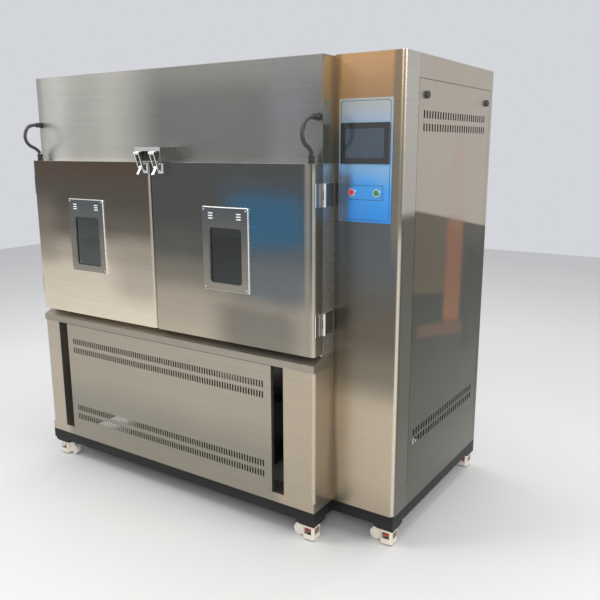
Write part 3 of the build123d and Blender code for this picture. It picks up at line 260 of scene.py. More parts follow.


# A painted highlight for faces that look up
ledgeHighlight = (0.85, 0.83, 0.79)
# Each sheet's tones, patches, corner, flank and ledge colours are painted reflections, highlights and shade
sheetLooks = {
    "headerSteel": {
        "climb": "z", "span": (1.5, 1.9), "waver": 0.05, "ledge": ledgeHighlight,
        "tones": [(0.0, (0.215, 0.22, 0.20)), (0.6, (0.215, 0.22, 0.20)), (1.0, (0.31, 0.30, 0.27))],
        "patches": [
            {"where": [("x", -1.2, -0.27, 0.17)], "colour": (0.60, 0.58, 0.51), "strength": 0.9},
            {"where": [("x", -0.88, -0.74, 0.07)], "colour": (0.74, 0.72, 0.68), "strength": 0.6},
            {"where": [("x", -1.2, -0.91, 0.02)], "colour": (0.40, 0.40, 0.37), "strength": 0.8},
            {"where": [("x", -0.70, -0.52, 0.08)], "colour": (0.46, 0.45, 0.40), "strength": 0.5},
            {"where": [("x", 0.44, 0.60, 0.06)], "colour": (0.30, 0.29, 0.31), "strength": 0.6},
            {
                "where": [("x", 0.67, 0.70, 0.003), ("z", 1.4, 2.0, 0.1)],
                "colour": (0.24, 0.225, 0.18), "waver": 0.0,
            },
        ],
    },
    "leftDoorSteel": {
        "climb": "z", "span": (0.78, 1.51), "waver": 0.08, "ledge": ledgeHighlight,
        "tones": [
            (0.0, (0.86, 0.76, 0.60)), (0.30, (0.82, 0.72, 0.57)), (0.44, (0.54, 0.47, 0.37)),
            (0.60, (0.17, 0.15, 0.115)), (0.78, (0.115, 0.10, 0.08)), (1.0, (0.115, 0.082, 0.06)),
        ],
        "patches": [
            {
                "where": [("x", -1.2, -0.80, 0.07), ("z", 1.05, 1.32, 0.1)],
                "colour": (0.30, 0.26, 0.21), "strength": 0.6,
            },
            {
                "where": [("x", -0.40, -0.10, 0.10), ("z", 0.9, 1.16, 0.08)],
                "colour": (0.36, 0.32, 0.26), "strength": 0.6,
            },
        ],
        "corner": {"height": (0.78, 1.51), "strength": 0.6, "colour": (0.60, 0.56, 0.48)},
    },
    "rightDoorSteel": {
        "climb": "z", "span": (0.78, 1.51), "waver": 0.08, "ledge": ledgeHighlight,
        "tones": [
            (0.0, (0.52, 0.45, 0.355)), (0.22, (0.46, 0.40, 0.32)), (0.36, (0.26, 0.235, 0.19)),
            (0.52, (0.13, 0.13, 0.115)), (0.75, (0.10, 0.10, 0.092)), (1.0, (0.097, 0.10, 0.096)),
        ],
        "patches": [
            {
                "where": [("x", 0.28, 0.64, 0.09), ("z", 1.18, 1.42, 0.08)],
                "colour": (0.055, 0.16, 0.265), "strength": 0.9, "waver": 0.14,
            },
            {
                "where": [("x", 0.28, 0.64, 0.06), ("z", 0.98, 1.16, 0.06)],
                "colour": (0.16, 0.185, 0.20), "strength": 0.85, "waver": 0.14,
            },
            {
                "where": [("x", 0.20, 0.62, 0.10), ("z", 0.74, 0.96, 0.05)],
                "colour": (0.19, 0.18, 0.155), "strength": 0.8, "waver": 0.1,
            },
            {
                "where": [("x", 0.632, 0.655, 0.008)],
                "colour": (0.34, 0.32, 0.26), "strength": 0.8, "waver": 0.0,
            },
        ],
        "corner": {"height": (0.78, 1.51), "strength": 0.7, "colour": (0.55, 0.52, 0.43)},
        "flankSpan": (0.78, 1.51),
        "flank": [(0.0, (0.36, 0.31, 0.24)), (0.4, (0.24, 0.21, 0.16)), (1.0, (0.20, 0.17, 0.13))],
    },
    "lowerSteel": {
        "climb": "z", "span": (0.13, 0.78), "waver": 0.12, "ledge": (0.42, 0.39, 0.33),
        "tones": [
            (0.0, (0.33, 0.30, 0.25)), (0.25, (0.30, 0.28, 0.23)), (0.6, (0.40, 0.36, 0.29)),
            (1.0, (0.42, 0.38, 0.31)),
        ],
        "patches": [
            {"where": [("x", 0.50, 0.70, 0.03)], "colour": (0.50, 0.42, 0.32), "strength": 0.8},
            {"where": [("x", -1.2, -0.83, 0.03)], "colour": (0.54, 0.47, 0.38), "strength": 0.8},
            {
                "where": [("z", 0.722, 0.80, 0.002)],
                "colour": (0.36, 0.33, 0.27), "waver": 0.0, "strength": 0.9,
            },
        ],
        "corner": {"height": (0.10, 0.76), "strength": 0.5, "colour": (0.62, 0.56, 0.46)},
    },
    "columnSteel": {
        "climb": "z", "span": (0.13, 1.90), "waver": 0.06, "waverScale": (0.9, 0.9, 1.6),
        "tones": [
            (0.0, (0.44, 0.37, 0.28)), (0.09, (0.52, 0.44, 0.33)), (0.24, (0.52, 0.44, 0.33)),
            (0.33, (0.22, 0.19, 0.145)), (0.42, (0.15, 0.13, 0.10)), (0.62, (0.137, 0.155, 0.165)),
            (0.80, (0.16, 0.155, 0.13)), (0.90, (0.46, 0.28, 0.145)), (1.0, (0.64, 0.38, 0.19)),
        ],
        "patches": [
            {"where": [("x", 0.60, 0.695, 0.012)], "colour": (0.09, 0.075, 0.05), "strength": 0.55},
            {
                "where": [("x", 0.912, 1.0, 0.008), ("z", 1.2, 2.0, 0.1)],
                "colour": (0.26, 0.22, 0.16), "strength": 0.8,
            },
        ],
        "corner": {"height": (0.0, 1.26), "strength": 1.0, "colour": (0.66, 0.60, 0.49)},
        "flankSpan": (0.13, 1.90),
        "flank": [
            (0.0, (0.19, 0.18, 0.15)), (0.28, (0.10, 0.095, 0.07)), (0.665, (0.13, 0.12, 0.095)),
            (0.69, (0.52, 0.48, 0.41)), (1.0, (0.55, 0.52, 0.46)),
        ],
    },
    "sideSteel": {
        "climb": "z", "span": (0.13, 1.90), "waver": 0.05, "grain": "up", "waverScale": (2.2, 2.2, 1.2),
        "tones": [
            (0.0, (0.16, 0.155, 0.125)), (0.2, (0.085, 0.083, 0.066)), (0.45, (0.062, 0.060, 0.044)),
            (0.66, (0.095, 0.082, 0.052)), (0.8, (0.48, 0.42, 0.34)), (1.0, (0.50, 0.46, 0.40)),
        ],
        "patches": [
            {"where": [("tilt", 1.296, 2.3, 0.006)], "colour": (0.52, 0.455, 0.37), "waver": 0.0},
            {
                "where": [("y", -0.26, 0.06, 0.02), ("tilt", 0.98, 1.296, 0.012)],
                "colour": (0.155, 0.125, 0.072), "waver": 0.01, "strength": 0.85,
            },
            {
                "where": [("y", 0.06, 0.25, 0.03), ("tilt", 0.86, 1.30, 0.03)],
                "colour": (0.34, 0.145, 0.065), "waver": 0.05, "strength": 0.85,
            },
            {
                "where": [("y", 0.10, 0.23, 0.03), ("tilt", 1.30, 1.62, 0.05)],
                "colour": (0.56, 0.40, 0.31), "waver": 0.05, "strength": 0.5,
            },
            {
                "where": [("y", -0.2, 0.30, 0.03), ("tilt", 0.80, 0.85, 0.012)],
                "colour": (0.22, 0.12, 0.065), "waver": 0.03, "strength": 0.6,
            },
            {
                "where": [("y", 0.30, 0.50, 0.04), ("tilt", 0.72, 1.20, 0.05)],
                "colour": (0.052, 0.047, 0.034), "waver": 0.05, "strength": 0.8,
            },
        ],
    },
    "backSteel": {
        "climb": "z", "span": (0.12, 1.9), "waver": 0.2,
        "tones": [(0.0, (0.40, 0.37, 0.32)), (0.5, (0.34, 0.32, 0.28)), (1.0, (0.46, 0.43, 0.39))],
    },
    "roofSteel": {
        "climb": "x", "span": (-0.95, 0.95), "waver": 0.3,
        "tones": [(0.0, (0.60, 0.57, 0.52)), (0.5, (0.54, 0.51, 0.46)), (1.0, (0.62, 0.58, 0.52))],
    },
    "linerSteel": {
        "climb": "z", "span": (0.8, 1.5), "waver": 0.2, "roughness": 0.22,
        "tones": [(0.0, (0.52, 0.53, 0.52)), (0.5, (0.60, 0.61, 0.60)), (1.0, (0.52, 0.53, 0.53))],
    },
    "frameSteel": {
        "climb": "z", "span": (1.0, 1.34), "waver": 0.05, "roughness": 0.28, "rim": (0.92, 0.91, 0.88),
        "tones": [
            (0.0, (0.36, 0.33, 0.27)), (0.35, (0.28, 0.26, 0.22)), (0.7, (0.17, 0.17, 0.16)),
            (1.0, (0.13, 0.14, 0.145)),
        ],
    },
    "collarSteel": {
        "climb": "z", "span": (0.8, 1.5), "waver": 0.1, "roughness": 0.26,
        "tones": [(0.0, (0.50, 0.49, 0.46)), (1.0, (0.46, 0.46, 0.44))],
    },
}
steel = {name: brushedSteel(name, look) for name, look in sheetLooks.items()}


def blackPaint():
    finish = Finish("blackPaint")
    speck = finish.noise((420.0, 420.0, 420.0), detail=3.0)
    dust = finish.noise((9.0, 9.0, 5.0), detail=6.0, roughness=0.65)
    low = finish.between(finish.axis("z"), 0.14, 0.08)
    colour = finish.mix(dust * low * 0.25, (0.006, 0.006, 0.007), (0.06, 0.054, 0.045))
    roughness = (speck - 0.5) * 0.14 + dust * 0.12 + 0.42
    normal = finish.bump(speck, 0.2, 0.0003)
    return finish.set(colour=colour, roughness=roughness, metallic=0.0, normal=normal, specular=0.3)


def plainMetal(name, tone, roughness, metallic=1.0, bumpy=0.0, size=300.0):
    finish = Finish(name)
    speck = finish.noise((size, size, size), detail=3.0)
    wear = finish.noise((24.0, 24.0, 24.0), detail=5.0, roughness=0.65)
    colour = finish.shade(finish.shade(tone, speck, 0.93, 1.07), wear, 0.88, 1.1)
    rough = (wear - 0.5) * 0.16 + (speck - 0.5) * 0.06 + roughness
    values = {"colour": colour, "roughness": rough, "metallic": metallic}
    if bumpy:
        values["normal"] = finish.bump(speck, bumpy, 0.0004)
    return finish.set(**values)


def moulded(name, tone, roughness, bumpy=0.12, size=500.0, coat=0.0):
    # Moulded plastic or rubber: a fine texture, a little dust in the open
    finish = Finish(name)
    speck = finish.noise((size, size, size), detail=2.0)
    dust = finish.noise((30.0, 30.0, 30.0), detail=5.0, roughness=0.7)
    colour = finish.mix(dust * 0.12, tone, (0.28, 0.26, 0.24))
    colour = finish.shade(colour, speck, 0.92, 1.08)
    rough = (speck - 0.5) * 0.1 + (dust - 0.5) * 0.12 + roughness
    return finish.set(colour=colour, roughness=rough, normal=finish.bump(speck, bumpy, 0.0003), coat=coat)


paneHeight = (1.03, 1.26)


def tintedGlass():
    finish = Finish("tintedGlass")
    haze = finish.noise((11.0, 11.0, 11.0), detail=4.0, roughness=0.6)
    # Painted light and shade: the pane is lighter at its foot and darker at its top, the right pane darker
    climb = finish.between(finish.axis("z"), *paneHeight)
    colour = finish.mix(climb, (0.15, 0.18, 0.165), (0.05, 0.062, 0.055))
    rightPane = finish.between(finish.axis("x"), -0.05, 0.05)
    colour = finish.mix(rightPane * 0.75, colour, (0.022, 0.027, 0.024))
    colour = finish.shade(colour, haze, 0.8, 1.2)
    roughness = (haze - 0.5) * 0.05 + 0.05
    return finish.set(colour=colour, roughness=roughness, transmission=0.7, ior=1.5, coat=0.25)


plateTones = {
    "climb": [
        (0.0, (0.045, 0.30, 0.80)), (0.26, (0.07, 0.36, 0.84)), (0.46, (0.24, 0.46, 0.72)),
        (0.8, (0.36, 0.47, 0.58)), (1.0, (0.44, 0.47, 0.46)),
    ],
    # The colour of the darker lower left of the plate
    "haze": (0.17, 0.16, 0.13),
    "hazeReach": (0.03, 0.06),
    "hazeTop": (1.45, 1.50),
    "collar": (0.80, 0.80, 0.78),
    "collarDepth": (0.0026, 0.0022),
}


def platePrint():
    # The printed aluminium plate: silver at the top, sky blue below, bare metal collars in front
    finish = Finish("platePrint")
    x, y, z = (finish.axis(letter) for letter in "xyz")
    brush = finish.noise((30.0, 30.0, 900.0), detail=2.0)
    haze = finish.noise((5.0, 5.0, 8.0), detail=3.0, distortion=0.5)
    low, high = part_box("control_plate")
    level = finish.between(z + (haze - 0.5) * 0.06, low[2], high[2], False)
    colour = finish.ramp(level, plateTones["climb"])
    # Darker brown towards the lower left of the plate
    leftDarkening = 1 - finish.between(x + (haze - 0.5) * 0.05, *(low[0] + reach for reach in plateTones["hazeReach"]))
    lowDarkening = 1 - finish.between(z, *plateTones["hazeTop"])
    colour = finish.mix(leftDarkening * lowDarkening * 0.75, colour, plateTones["haze"])
    bare = 1 - finish.between(y, *(high[1] - depth for depth in plateTones["collarDepth"]))
    colour = finish.mix(bare, colour, plateTones["collar"])
    colour = finish.shade(colour, brush, 0.98, 1.02)
    roughness = (brush - 0.5) * 0.06 + 0.22
    return finish.set(colour=colour, roughness=roughness, metallic=bare * 0.5 + 0.5, coat=0.25)


def screenGlass():
    finish = Finish("screenGlass")
    haze = finish.noise((14.0, 14.0, 14.0), detail=4.0, roughness=0.6, distortion=0.3)
    # A painted highlight on the faces that turn away from the front
    edge = finish.between(finish.leaning("y") * -1, 0.9, 0.5)
    colour = finish.mix(haze * 0.5, (0.014, 0.016, 0.018), (0.034, 0.036, 0.040))
    colour = finish.mix(edge * 0.8, colour, (0.16, 0.165, 0.17))
    roughness = (haze - 0.5) * 0.1 + 0.2
    return finish.set(colour=colour, roughness=roughness, coat=0.5, coatRoughness=0.08)


capDepth = (0.0045, 0.0052)


def buttonCap(name, tone):
    finish = Finish(name)
    speck = finish.noise((260.0, 260.0, 260.0), detail=2.0)
    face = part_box("red_button")[0][1]
    front = 1 - finish.between(finish.axis("y"), *(face + depth for depth in capDepth))
    colour = finish.shade(finish.mix(front, (0.55, 0.55, 0.54), tone), speck, 0.94, 1.06)
    roughness = (speck - 0.5) * 0.08 + 0.2
    return finish.set(colour=colour, roughness=roughness, coat=0.7)


footLevels = {
    "pad": (0.0082, 0.0088),
    "red": (0.0355, 0.0455),
    "brass": (0.0395, 0.0415),
    "edge": 0.0004,
}


def footFinish():
    # From the floor up: a dark pad, a zinc spindle and a red thumbwheel with a brass middle
    finish = Finish("footFinish")
    z = finish.axis("z")
    red = finish.window(z, *footLevels["red"], footLevels["edge"])
    brass = finish.window(z, *footLevels["brass"], footLevels["edge"])
    pad = 1 - finish.between(z, *footLevels["pad"])
    speck = finish.noise((500.0, 500.0, 500.0), detail=2.0)
    cap = finish.mix(brass * 0.7, (0.50, 0.022, 0.018), (0.55, 0.17, 0.04))
    colour = finish.mix(red, (0.45, 0.44, 0.42), cap)
    colour = finish.shade(finish.mix(pad, colour, (0.05, 0.045, 0.042)), speck, 0.9, 1.1)
    metallic = (1 - red) * (1 - pad)
    roughness = (speck - 0.5) * 0.1 + 0.4
    return finish.set(colour=colour, roughness=roughness, metallic=metallic, normal=finish.bump(speck, 0.15, 0.0003))


hingeTones = {"aside": (0.30, 0.29, 0.27), "forward": (0.86, 0.85, 0.82)}
hardwareLevels = {
    "latches": (-0.20, -0.06),
    "doors": (-0.9468, 0.6732),
    "doorTop": (1.5127, 1.5133),
}


def hingeGlint(finish):
    # Hinge faces that look forward or up catch the light, those that look aside stay grey
    glint = finish.between(finish.leaning("y") * -1 + finish.leaning("z"), 0.35, 0.8)
    return finish.mix(glint, hingeTones["aside"], hingeTones["forward"])


def hardwareFinish():
    # Satin hinge leaves beside the door, bright latch parts over it, black glands on top of it
    finish = Finish("hardwareFinish")
    x, z = finish.axis("x"), finish.axis("z")
    nearSeam = finish.window(x, *hardwareLevels["latches"], 0.002)
    outer = 1 - finish.window(x, *hardwareLevels["doors"], 0.0002)
    gland = (1 - nearSeam) * (1 - outer) * finish.between(z, *hardwareLevels["doorTop"])
    wear = finish.noise((40.0, 40.0, 40.0), detail=5.0, roughness=0.65)
    speck = finish.noise((420.0, 420.0, 420.0), detail=2.0)
    colour = finish.mix(nearSeam, hingeGlint(finish), (0.88, 0.88, 0.87))
    colour = finish.shade(finish.mix(gland, colour, (0.012, 0.012, 0.013)), wear, 0.9, 1.08)
    roughness = 0.30 - nearSeam * 0.16 + gland * 0.14 + (wear - 0.5) * 0.12
    normal = finish.bump(speck, 0.1, 0.0002)
    return finish.set(colour=colour, roughness=roughness, metallic=1 - gland, normal=normal)


def hingeSteel():
    finish = Finish("hingeSteel")
    speck = finish.noise((420.0, 420.0, 420.0), detail=2.0)
    wear = finish.noise((40.0, 40.0, 40.0), detail=5.0, roughness=0.65)
    colour = finish.shade(hingeGlint(finish), wear, 0.9, 1.08)
    roughness = (wear - 0.5) * 0.12 + 0.3
    return finish.set(colour=colour, roughness=roughness, metallic=1.0, normal=finish.bump(speck, 0.1, 0.0002))


def bracketSteel():
    # Painted light and shade: a bright top, lip and front, and dark cheeks that look aside
    finish = Finish("bracketSteel")
    speck = finish.noise((420.0, 420.0, 420.0), detail=2.0)
    wear = finish.noise((40.0, 40.0, 40.0), detail=5.0, roughness=0.65)
    aside = finish.between(finish.leaning("x"), 0.5, 0.9)
    colour = finish.mix(aside, (0.72, 0.72, 0.70), (0.34, 0.33, 0.31))
    colour = finish.shade(colour, wear, 0.9, 1.08)
    roughness = (wear - 0.5) * 0.12 + 0.24
    return finish.set(colour=colour, roughness=roughness, metallic=1.0, normal=finish.bump(speck, 0.1, 0.0002))


def foamFinish():
    finish = Finish("foamFinish")
    cell = finish.noise((160.0, 160.0, 160.0), detail=4.0, roughness=0.7)
    lump = finish.noise((12.0, 12.0, 12.0), detail=4.0)
    colour = finish.shade(finish.mix(lump, (0.70, 0.60, 0.34), (0.82, 0.74, 0.50)), cell, 0.86, 1.12)
    return finish.set(colour=colour, roughness=(cell - 0.5) * 0.1 + 0.88, normal=finish.bump(cell, 0.5, 0.002))


boardFace = (0.6778, 0.6784)


def deviceFinish():
    # A galvanised board with grey device housings standing on it
    finish = Finish("deviceFinish")
    out = finish.between(finish.axis("x"), *boardFace)
    speck = finish.noise((340.0, 340.0, 340.0), detail=2.0)
    ridges = finish.noise((1.0, 260.0, 1.0), detail=0.0)
    colour = finish.mix(out, (0.45, 0.46, 0.47), (0.34, 0.36, 0.37))
    colour = finish.shade(finish.shade(colour, speck, 0.94, 1.06), ridges, 0.8, 1.15)
    roughness = out * 0.12 + (speck - 0.5) * 0.1 + 0.38
    return finish.set(colour=colour, roughness=roughness, metallic=(1 - out) * 0.9)


finishes = {
    "blackPaint": blackPaint(),
    "hingeSteel": hingeSteel(),
    "bracketSteel": bracketSteel(),
    "chrome": plainMetal("chrome", (0.92, 0.92, 0.92), 0.14),
    "zinc": plainMetal("zinc", (0.50, 0.51, 0.52), 0.42, bumpy=0.1, size=90.0),
    "fanMetal": plainMetal("fanMetal", (0.62, 0.63, 0.64), 0.34),
    "ivoryCast": plainMetal("ivoryCast", (0.74, 0.69, 0.58), 0.42, metallic=0.1, bumpy=0.35, size=240.0),
    "machinePaint": plainMetal("machinePaint", (0.03, 0.03, 0.034), 0.4, metallic=0.1, bumpy=0.15),
    "blackNylon": moulded("blackNylon", (0.016, 0.016, 0.017), 0.42),
    "conduitBlack": moulded("conduitBlack", (0.012, 0.012, 0.012), 0.38, coat=0.15),
    "whiteNylon": moulded("whiteNylon", (0.72, 0.71, 0.67), 0.45, bumpy=0.2),
    "sealRubber": moulded("sealRubber", (0.03, 0.03, 0.03), 0.6, bumpy=0.3),
    "lineInk": moulded("lineInk", (0.025, 0.05, 0.10), 0.4, bumpy=0.02),
    "whiteInk": moulded("whiteInk", (0.90, 0.90, 0.88), 0.35, bumpy=0.02),
    "tintedGlass": tintedGlass(),
    "platePrint": platePrint(),
    "screenGlass": screenGlass(),
    "redCap": buttonCap("redCap", (0.62, 0.02, 0.02)),
    "greenCap": buttonCap("greenCap", (0.01, 0.22, 0.06)),
    "footFinish": footFinish(),
    "hardwareFinish": hardwareFinish(),
    "foamFinish": foamFinish(),
    "deviceFinish": deviceFinish(),
}
finishes.update(steel)
nodeFinish = {
    "base_frame": "blackPaint", "left_side_panel": "backSteel", "rear_panel": "backSteel",
    "roof_panel": "roofSteel", "header_panel": "headerSteel", "face_frame": "collarSteel",
    "insulation": "foamFinish", "inner_liner": "linerSteel", "lower_frame": "lowerSteel",
    "lower_front_panel": "lowerSteel", "column_front": "columnSteel", "column_side_frame": "sideSteel",
    "side_service_panel": "sideSteel", "control_plate": "platePrint", "touch_screen": "screenGlass",
    "electrical_backplate": "deviceFinish", "latch_bracket": "bracketSteel", "cable_glands": "blackNylon",
    "left_cable": "conduitBlack", "right_cable": "conduitBlack", "fixed_hinge_leaves": "hingeSteel",
    "shelves": "linerSteel", "duct_panel": "linerSteel", "fan_motor": "machinePaint",
    "condensing_unit": "machinePaint", "circulation_fan": "fanMetal", "condenser_fan": "fanMetal",
    "left_door_panel": "leftDoorSteel", "right_door_panel": "rightDoorSteel",
    "green_button": "greenCap", "red_button": "redCap",
    "front_panel_lock": "blackNylon", "rear_panel_lock": "blackNylon",
}
for side in ("left", "right"):
    nodeFinish[side + "_door_liner"] = "linerSteel"
    nodeFinish[side + "_door_gasket"] = "sealRubber"
    nodeFinish[side + "_window_frame"] = "frameSteel"
    nodeFinish[side + "_window_glass"] = "tintedGlass"
    nodeFinish[side + "_door_hardware"] = "hardwareFinish"
    nodeFinish[side + "_latch_lever"] = "chrome"
for number in range(1, 6):
    nodeFinish["castor_yoke_%d" % number] = "ivoryCast"
    nodeFinish["castor_wheel_%d" % number] = "whiteNylon"
    nodeFinish["levelling_foot_%d" % number] = "footFinish"
for name, node in nodes.items():
    node.data.materials.clear()
    node.data.materials.append(finishes[nodeFinish[name]])
print("finishes made:", len(finishes))


# Mesh helpers
def addPiece(name, mesh, body, finish, smooth=40.0):
    piece = bpy.data.objects.new(name, mesh)
    bpy.context.scene.collection.objects.link(piece)
    mesh.materials.append(finishes[finish])
    for face in mesh.polygons:
        face.use_smooth = True
    mesh.set_sharp_from_angle(angle=math.radians(smooth))
    if body:
        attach(piece, body)
    return piece


def meshFrom(build):
    shape = bmesh.new()
    build(shape)
    bmesh.ops.recalc_face_normals(shape, faces=shape.faces)
    mesh = bpy.data.meshes.new("piece")
    shape.to_mesh(mesh)
    shape.free()
    return mesh


def turned(shape, profile, centre, axis, around=24):
    # Turns a profile of (along, radius) pairs about an axis through the centre
    along = Vector(axis).normalized()
    first = along.orthogonal().normalized()
    second = along.cross(first)
    rings = []
    for reach, radius in profile:
        middle = Vector(centre) + along * reach
        if radius < 1e-6:
            rings.append([shape.verts.new(middle)])
            continue
        ring = []
        for step in range(around):
            angle = 2 * math.pi * step / around
            ring.append(shape.verts.new(middle + (first * math.cos(angle) + second * math.sin(angle)) * radius))
        rings.append(ring)
    for low, high in zip(rings, rings[1:]):
        for step in range(around):
            following = (step + 1) % around
            corners = [ring[place % len(ring)] for ring, place in (
                (low, step), (low, following), (high, following), (high, step),
            )]
            distinct = list(dict.fromkeys(corners))
            if len(distinct) > 2:
                shape.faces.new(distinct)


def roundedLoop(width, height, radius, perCorner=6):
    points = []
    for cornerX, cornerZ, start in ((1, 1, 0), (-1, 1, 90), (-1, -1, 180), (1, -1, 270)):
        for step in range(perCorner + 1):
            angle = math.radians(start + 90 * step / perCorner)
            points.append((
                cornerX * (width / 2 - radius) + radius * math.cos(angle),
                cornerZ * (height / 2 - radius) + radius * math.sin(angle),
            ))
    return points


def frontPlate(shape, centre, size, radius, thickness, edge=0.0):
    # A rounded plate that faces -Y, its back at the centre's y, with a small edge bevel
    x, y, z = centre
    loops = []
    for grow, depth in ((0.0, 0.0), (0.0, thickness - edge), (-edge, thickness)):
        outline = roundedLoop(size[0] + 2 * grow, size[1] + 2 * grow, max(radius + grow, 1e-4))
        loops.append([shape.verts.new((x + px, y - depth, z + pz)) for px, pz in outline])
    count = len(loops[0])
    for low, high in zip(loops, loops[1:]):
        for step in range(count):
            shape.faces.new((low[step], low[(step + 1) % count], high[(step + 1) % count], high[step]))
    shape.faces.new(loops[-1])
    shape.faces.new(list(reversed(loops[0])))


def frontLine(shape, centre, size, radius, line, thickness):
    # A thin rounded frame line that faces -Y
    x, y, z = centre
    outer = roundedLoop(size[0], size[1], radius)
    inner = roundedLoop(size[0] - 2 * line, size[1] - 2 * line, max(radius - line, 1e-4))
    loops = []
    for outline, depth in ((outer, 0.0), (outer, thickness), (inner, thickness), (inner, 0.0)):
        loops.append([shape.verts.new((x + px, y - depth, z + pz)) for px, pz in outline])
    count = len(outer)
    for low, high in zip(loops, loops[1:] + loops[:1]):
        for step in range(count):
            shape.faces.new((low[step], low[(step + 1) % count], high[(step + 1) % count], high[step]))


# Cables: ribbed conduit from each header gland forward, down and back to the door's gland
conduit = {
    "diameter": 0.016,
    "groove": 0.0007,
    "ribPitch": 0.0036,
    "around": 18,
    "routes": {
        "left": [
            (-0.92875, -0.4925, 1.680), (-0.92875, -0.5305, 1.680), (-0.9249, -0.5585, 1.652),
            (-0.92325, -0.5665, 1.616), (-0.92105, -0.5485, 1.584), (-0.91885, -0.5065, 1.568),
            (-0.91775, -0.4935, 1.549),
        ],
        "right": [
            (0.65525, -0.4925, 1.680), (0.65525, -0.5305, 1.680), (0.6514, -0.5585, 1.652),
            (0.64975, -0.5665, 1.616), (0.64755, -0.5485, 1.584), (0.64535, -0.5065, 1.568),
            (0.64425, -0.4935, 1.549),
        ],
    },
}


def smoothRoute(points):
    data = bpy.data.curves.new("route", "CURVE")
    data.dimensions = "3D"
    data.resolution_u = 24
    spline = data.splines.new("NURBS")
    spline.points.add(len(points) - 1)
    for point, place in zip(spline.points, points):
        point.co = (*place, 1)
    spline.order_u = 3
    spline.use_endpoint_u = True
    helper = bpy.data.objects.new("route", data)
    bpy.context.scene.collection.objects.link(helper)
    bpy.context.view_layer.update()
    line = bpy.data.meshes.new_from_object(helper)
    path = [vertex.co.copy() for vertex in line.vertices]
    bpy.data.objects.remove(helper)
    bpy.data.meshes.remove(line)
    return path


def pathLength(path):
    return sum((after - before).length for before, after in zip(path, path[1:]))


def evenly(path, count):
    # The same line, divided into count equal steps
    total = pathLength(path)
    places, travelled, segment = [], 0.0, 0
    for index in range(count + 1):
        wanted = total * index / count
        while segment < len(path) - 2 and travelled + (path[segment + 1] - path[segment]).length < wanted:
            travelled += (path[segment + 1] - path[segment]).length
            segment += 1
        piece = path[segment + 1] - path[segment]
        share = min(max((wanted - travelled) / max(piece.length, 1e-9), 0.0), 1.0)
        places.append(path[segment] + piece * share)
    return places


def makeConduit(side):
    path = smoothRoute(conduit["routes"][side])
    length = pathLength(path)
    count = round(length / conduit["ribPitch"]) * 4
    places = evenly(path, count)
    shape = bmesh.new()
    rings = []
    across = Vector((1, 0, 0))
    for index, place in enumerate(places):
        ahead = (places[min(index + 1, count)] - places[max(index - 1, 0)]).normalized()
        first = (across - ahead * across.dot(ahead)).normalized()
        second = ahead.cross(first)
        swell = (0.0, 0.5, 1.0, 0.5)[index % 4]
        radius = conduit["diameter"] / 2 - conduit["groove"] * swell
        ring = []
        for step in range(conduit["around"]):
            angle = 2 * math.pi * step / conduit["around"]
            ring.append(shape.verts.new(place + (first * math.cos(angle) + second * math.sin(angle)) * radius))
        rings.append(ring)
    for low, high in zip(rings, rings[1:]):
        for step in range(conduit["around"]):
            following = (step + 1) % conduit["around"]
            shape.faces.new((low[step], low[following], high[following], high[step]))
    shape.faces.new(list(reversed(rings[0])))
    shape.faces.new(rings[-1])
    mesh = bpy.data.meshes.new(side + "Conduit")
    shape.to_mesh(mesh)
    shape.free()
    piece = addPiece(side + "Conduit", mesh, None, "conduitBlack", smooth=70)
    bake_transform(piece)
    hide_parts(side + "_cable")
    print(side, "conduit is", round(length, 4), "m long")


for side in ("left", "right"):
    makeConduit(side)


# Rounded gland nuts: ribbed rings that sit on the plain glands of the frame
glandLook = {
    "flange": (0.0140, 0.0035),
    "neck": 0.0105,
    "ribs": 3,
    "ribStart": 0.0095,
    "ribPitch": 0.0030,
    "ribRadii": (0.0102, 0.0114),
    "headerEnds": ((-0.92875, -0.4615, 1.680), (0.65525, -0.4615, 1.680)),
    "doorEnds": {"left": (-0.91775, -0.4935, 1.513), "right": (0.64425, -0.4935, 1.513)},
}


def glandSleeve(shape, start, axis):
    flange, depth = glandLook["flange"]
    valley, crest = glandLook["ribRadii"]
    profile = [(0.0, flange), (depth, flange), (depth + 0.0005, glandLook["neck"])]
    for index in range(glandLook["ribs"]):
        low = glandLook["ribStart"] + index * glandLook["ribPitch"]
        profile += [(low, valley), (low + 0.0006, crest), (low + 0.0018, crest), (low + 0.0024, valley)]
    profile += [(0.0310, 0.0100), (0.0322, 0.0092), (0.0322, 0.0080)]
    turned(shape, profile, start, axis, around=28)


def headerSleeves(shape):
    for start in glandLook["headerEnds"]:
        glandSleeve(shape, start, (0, -1, 0))


addPiece("headerGlandSleeves", meshFrom(headerSleeves), "cabinet", "blackNylon")
for side in ("left", "right"):
    mesh = meshFrom(lambda shape: glandSleeve(shape, glandLook["doorEnds"][side], (0, 0, 1)))
    addPiece(side + "DoorGlandSleeve", mesh, side + "_door", "blackNylon")
print("cables and glands made")


# Control plate: a border line, a line frame round the buttons, the live area of the screen
plateLow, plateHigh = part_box("control_plate")
screenLow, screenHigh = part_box("touch_screen")
buttonLow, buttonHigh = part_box("red_button")
panelLook = {
    "middle": (plateLow[0] + plateHigh[0]) / 2,
    "front": plateHigh[1] - 0.002,
    "plateMiddle": (plateLow[2] + plateHigh[2]) / 2,
    "border": (0.204, 0.430),
    "borderRadius": 0.012,
    "line": 0.0018,
    "lineHeight": 0.0003,
    "buttonFrame": (0.150, 0.054),
    "buttonLevel": (buttonLow[2] + buttonHigh[2]) / 2,
    "screenFront": screenLow[1],
    "screenMiddle": (screenLow[2] + screenHigh[2]) / 2,
    "liveArea": (0.158, 0.104),
}


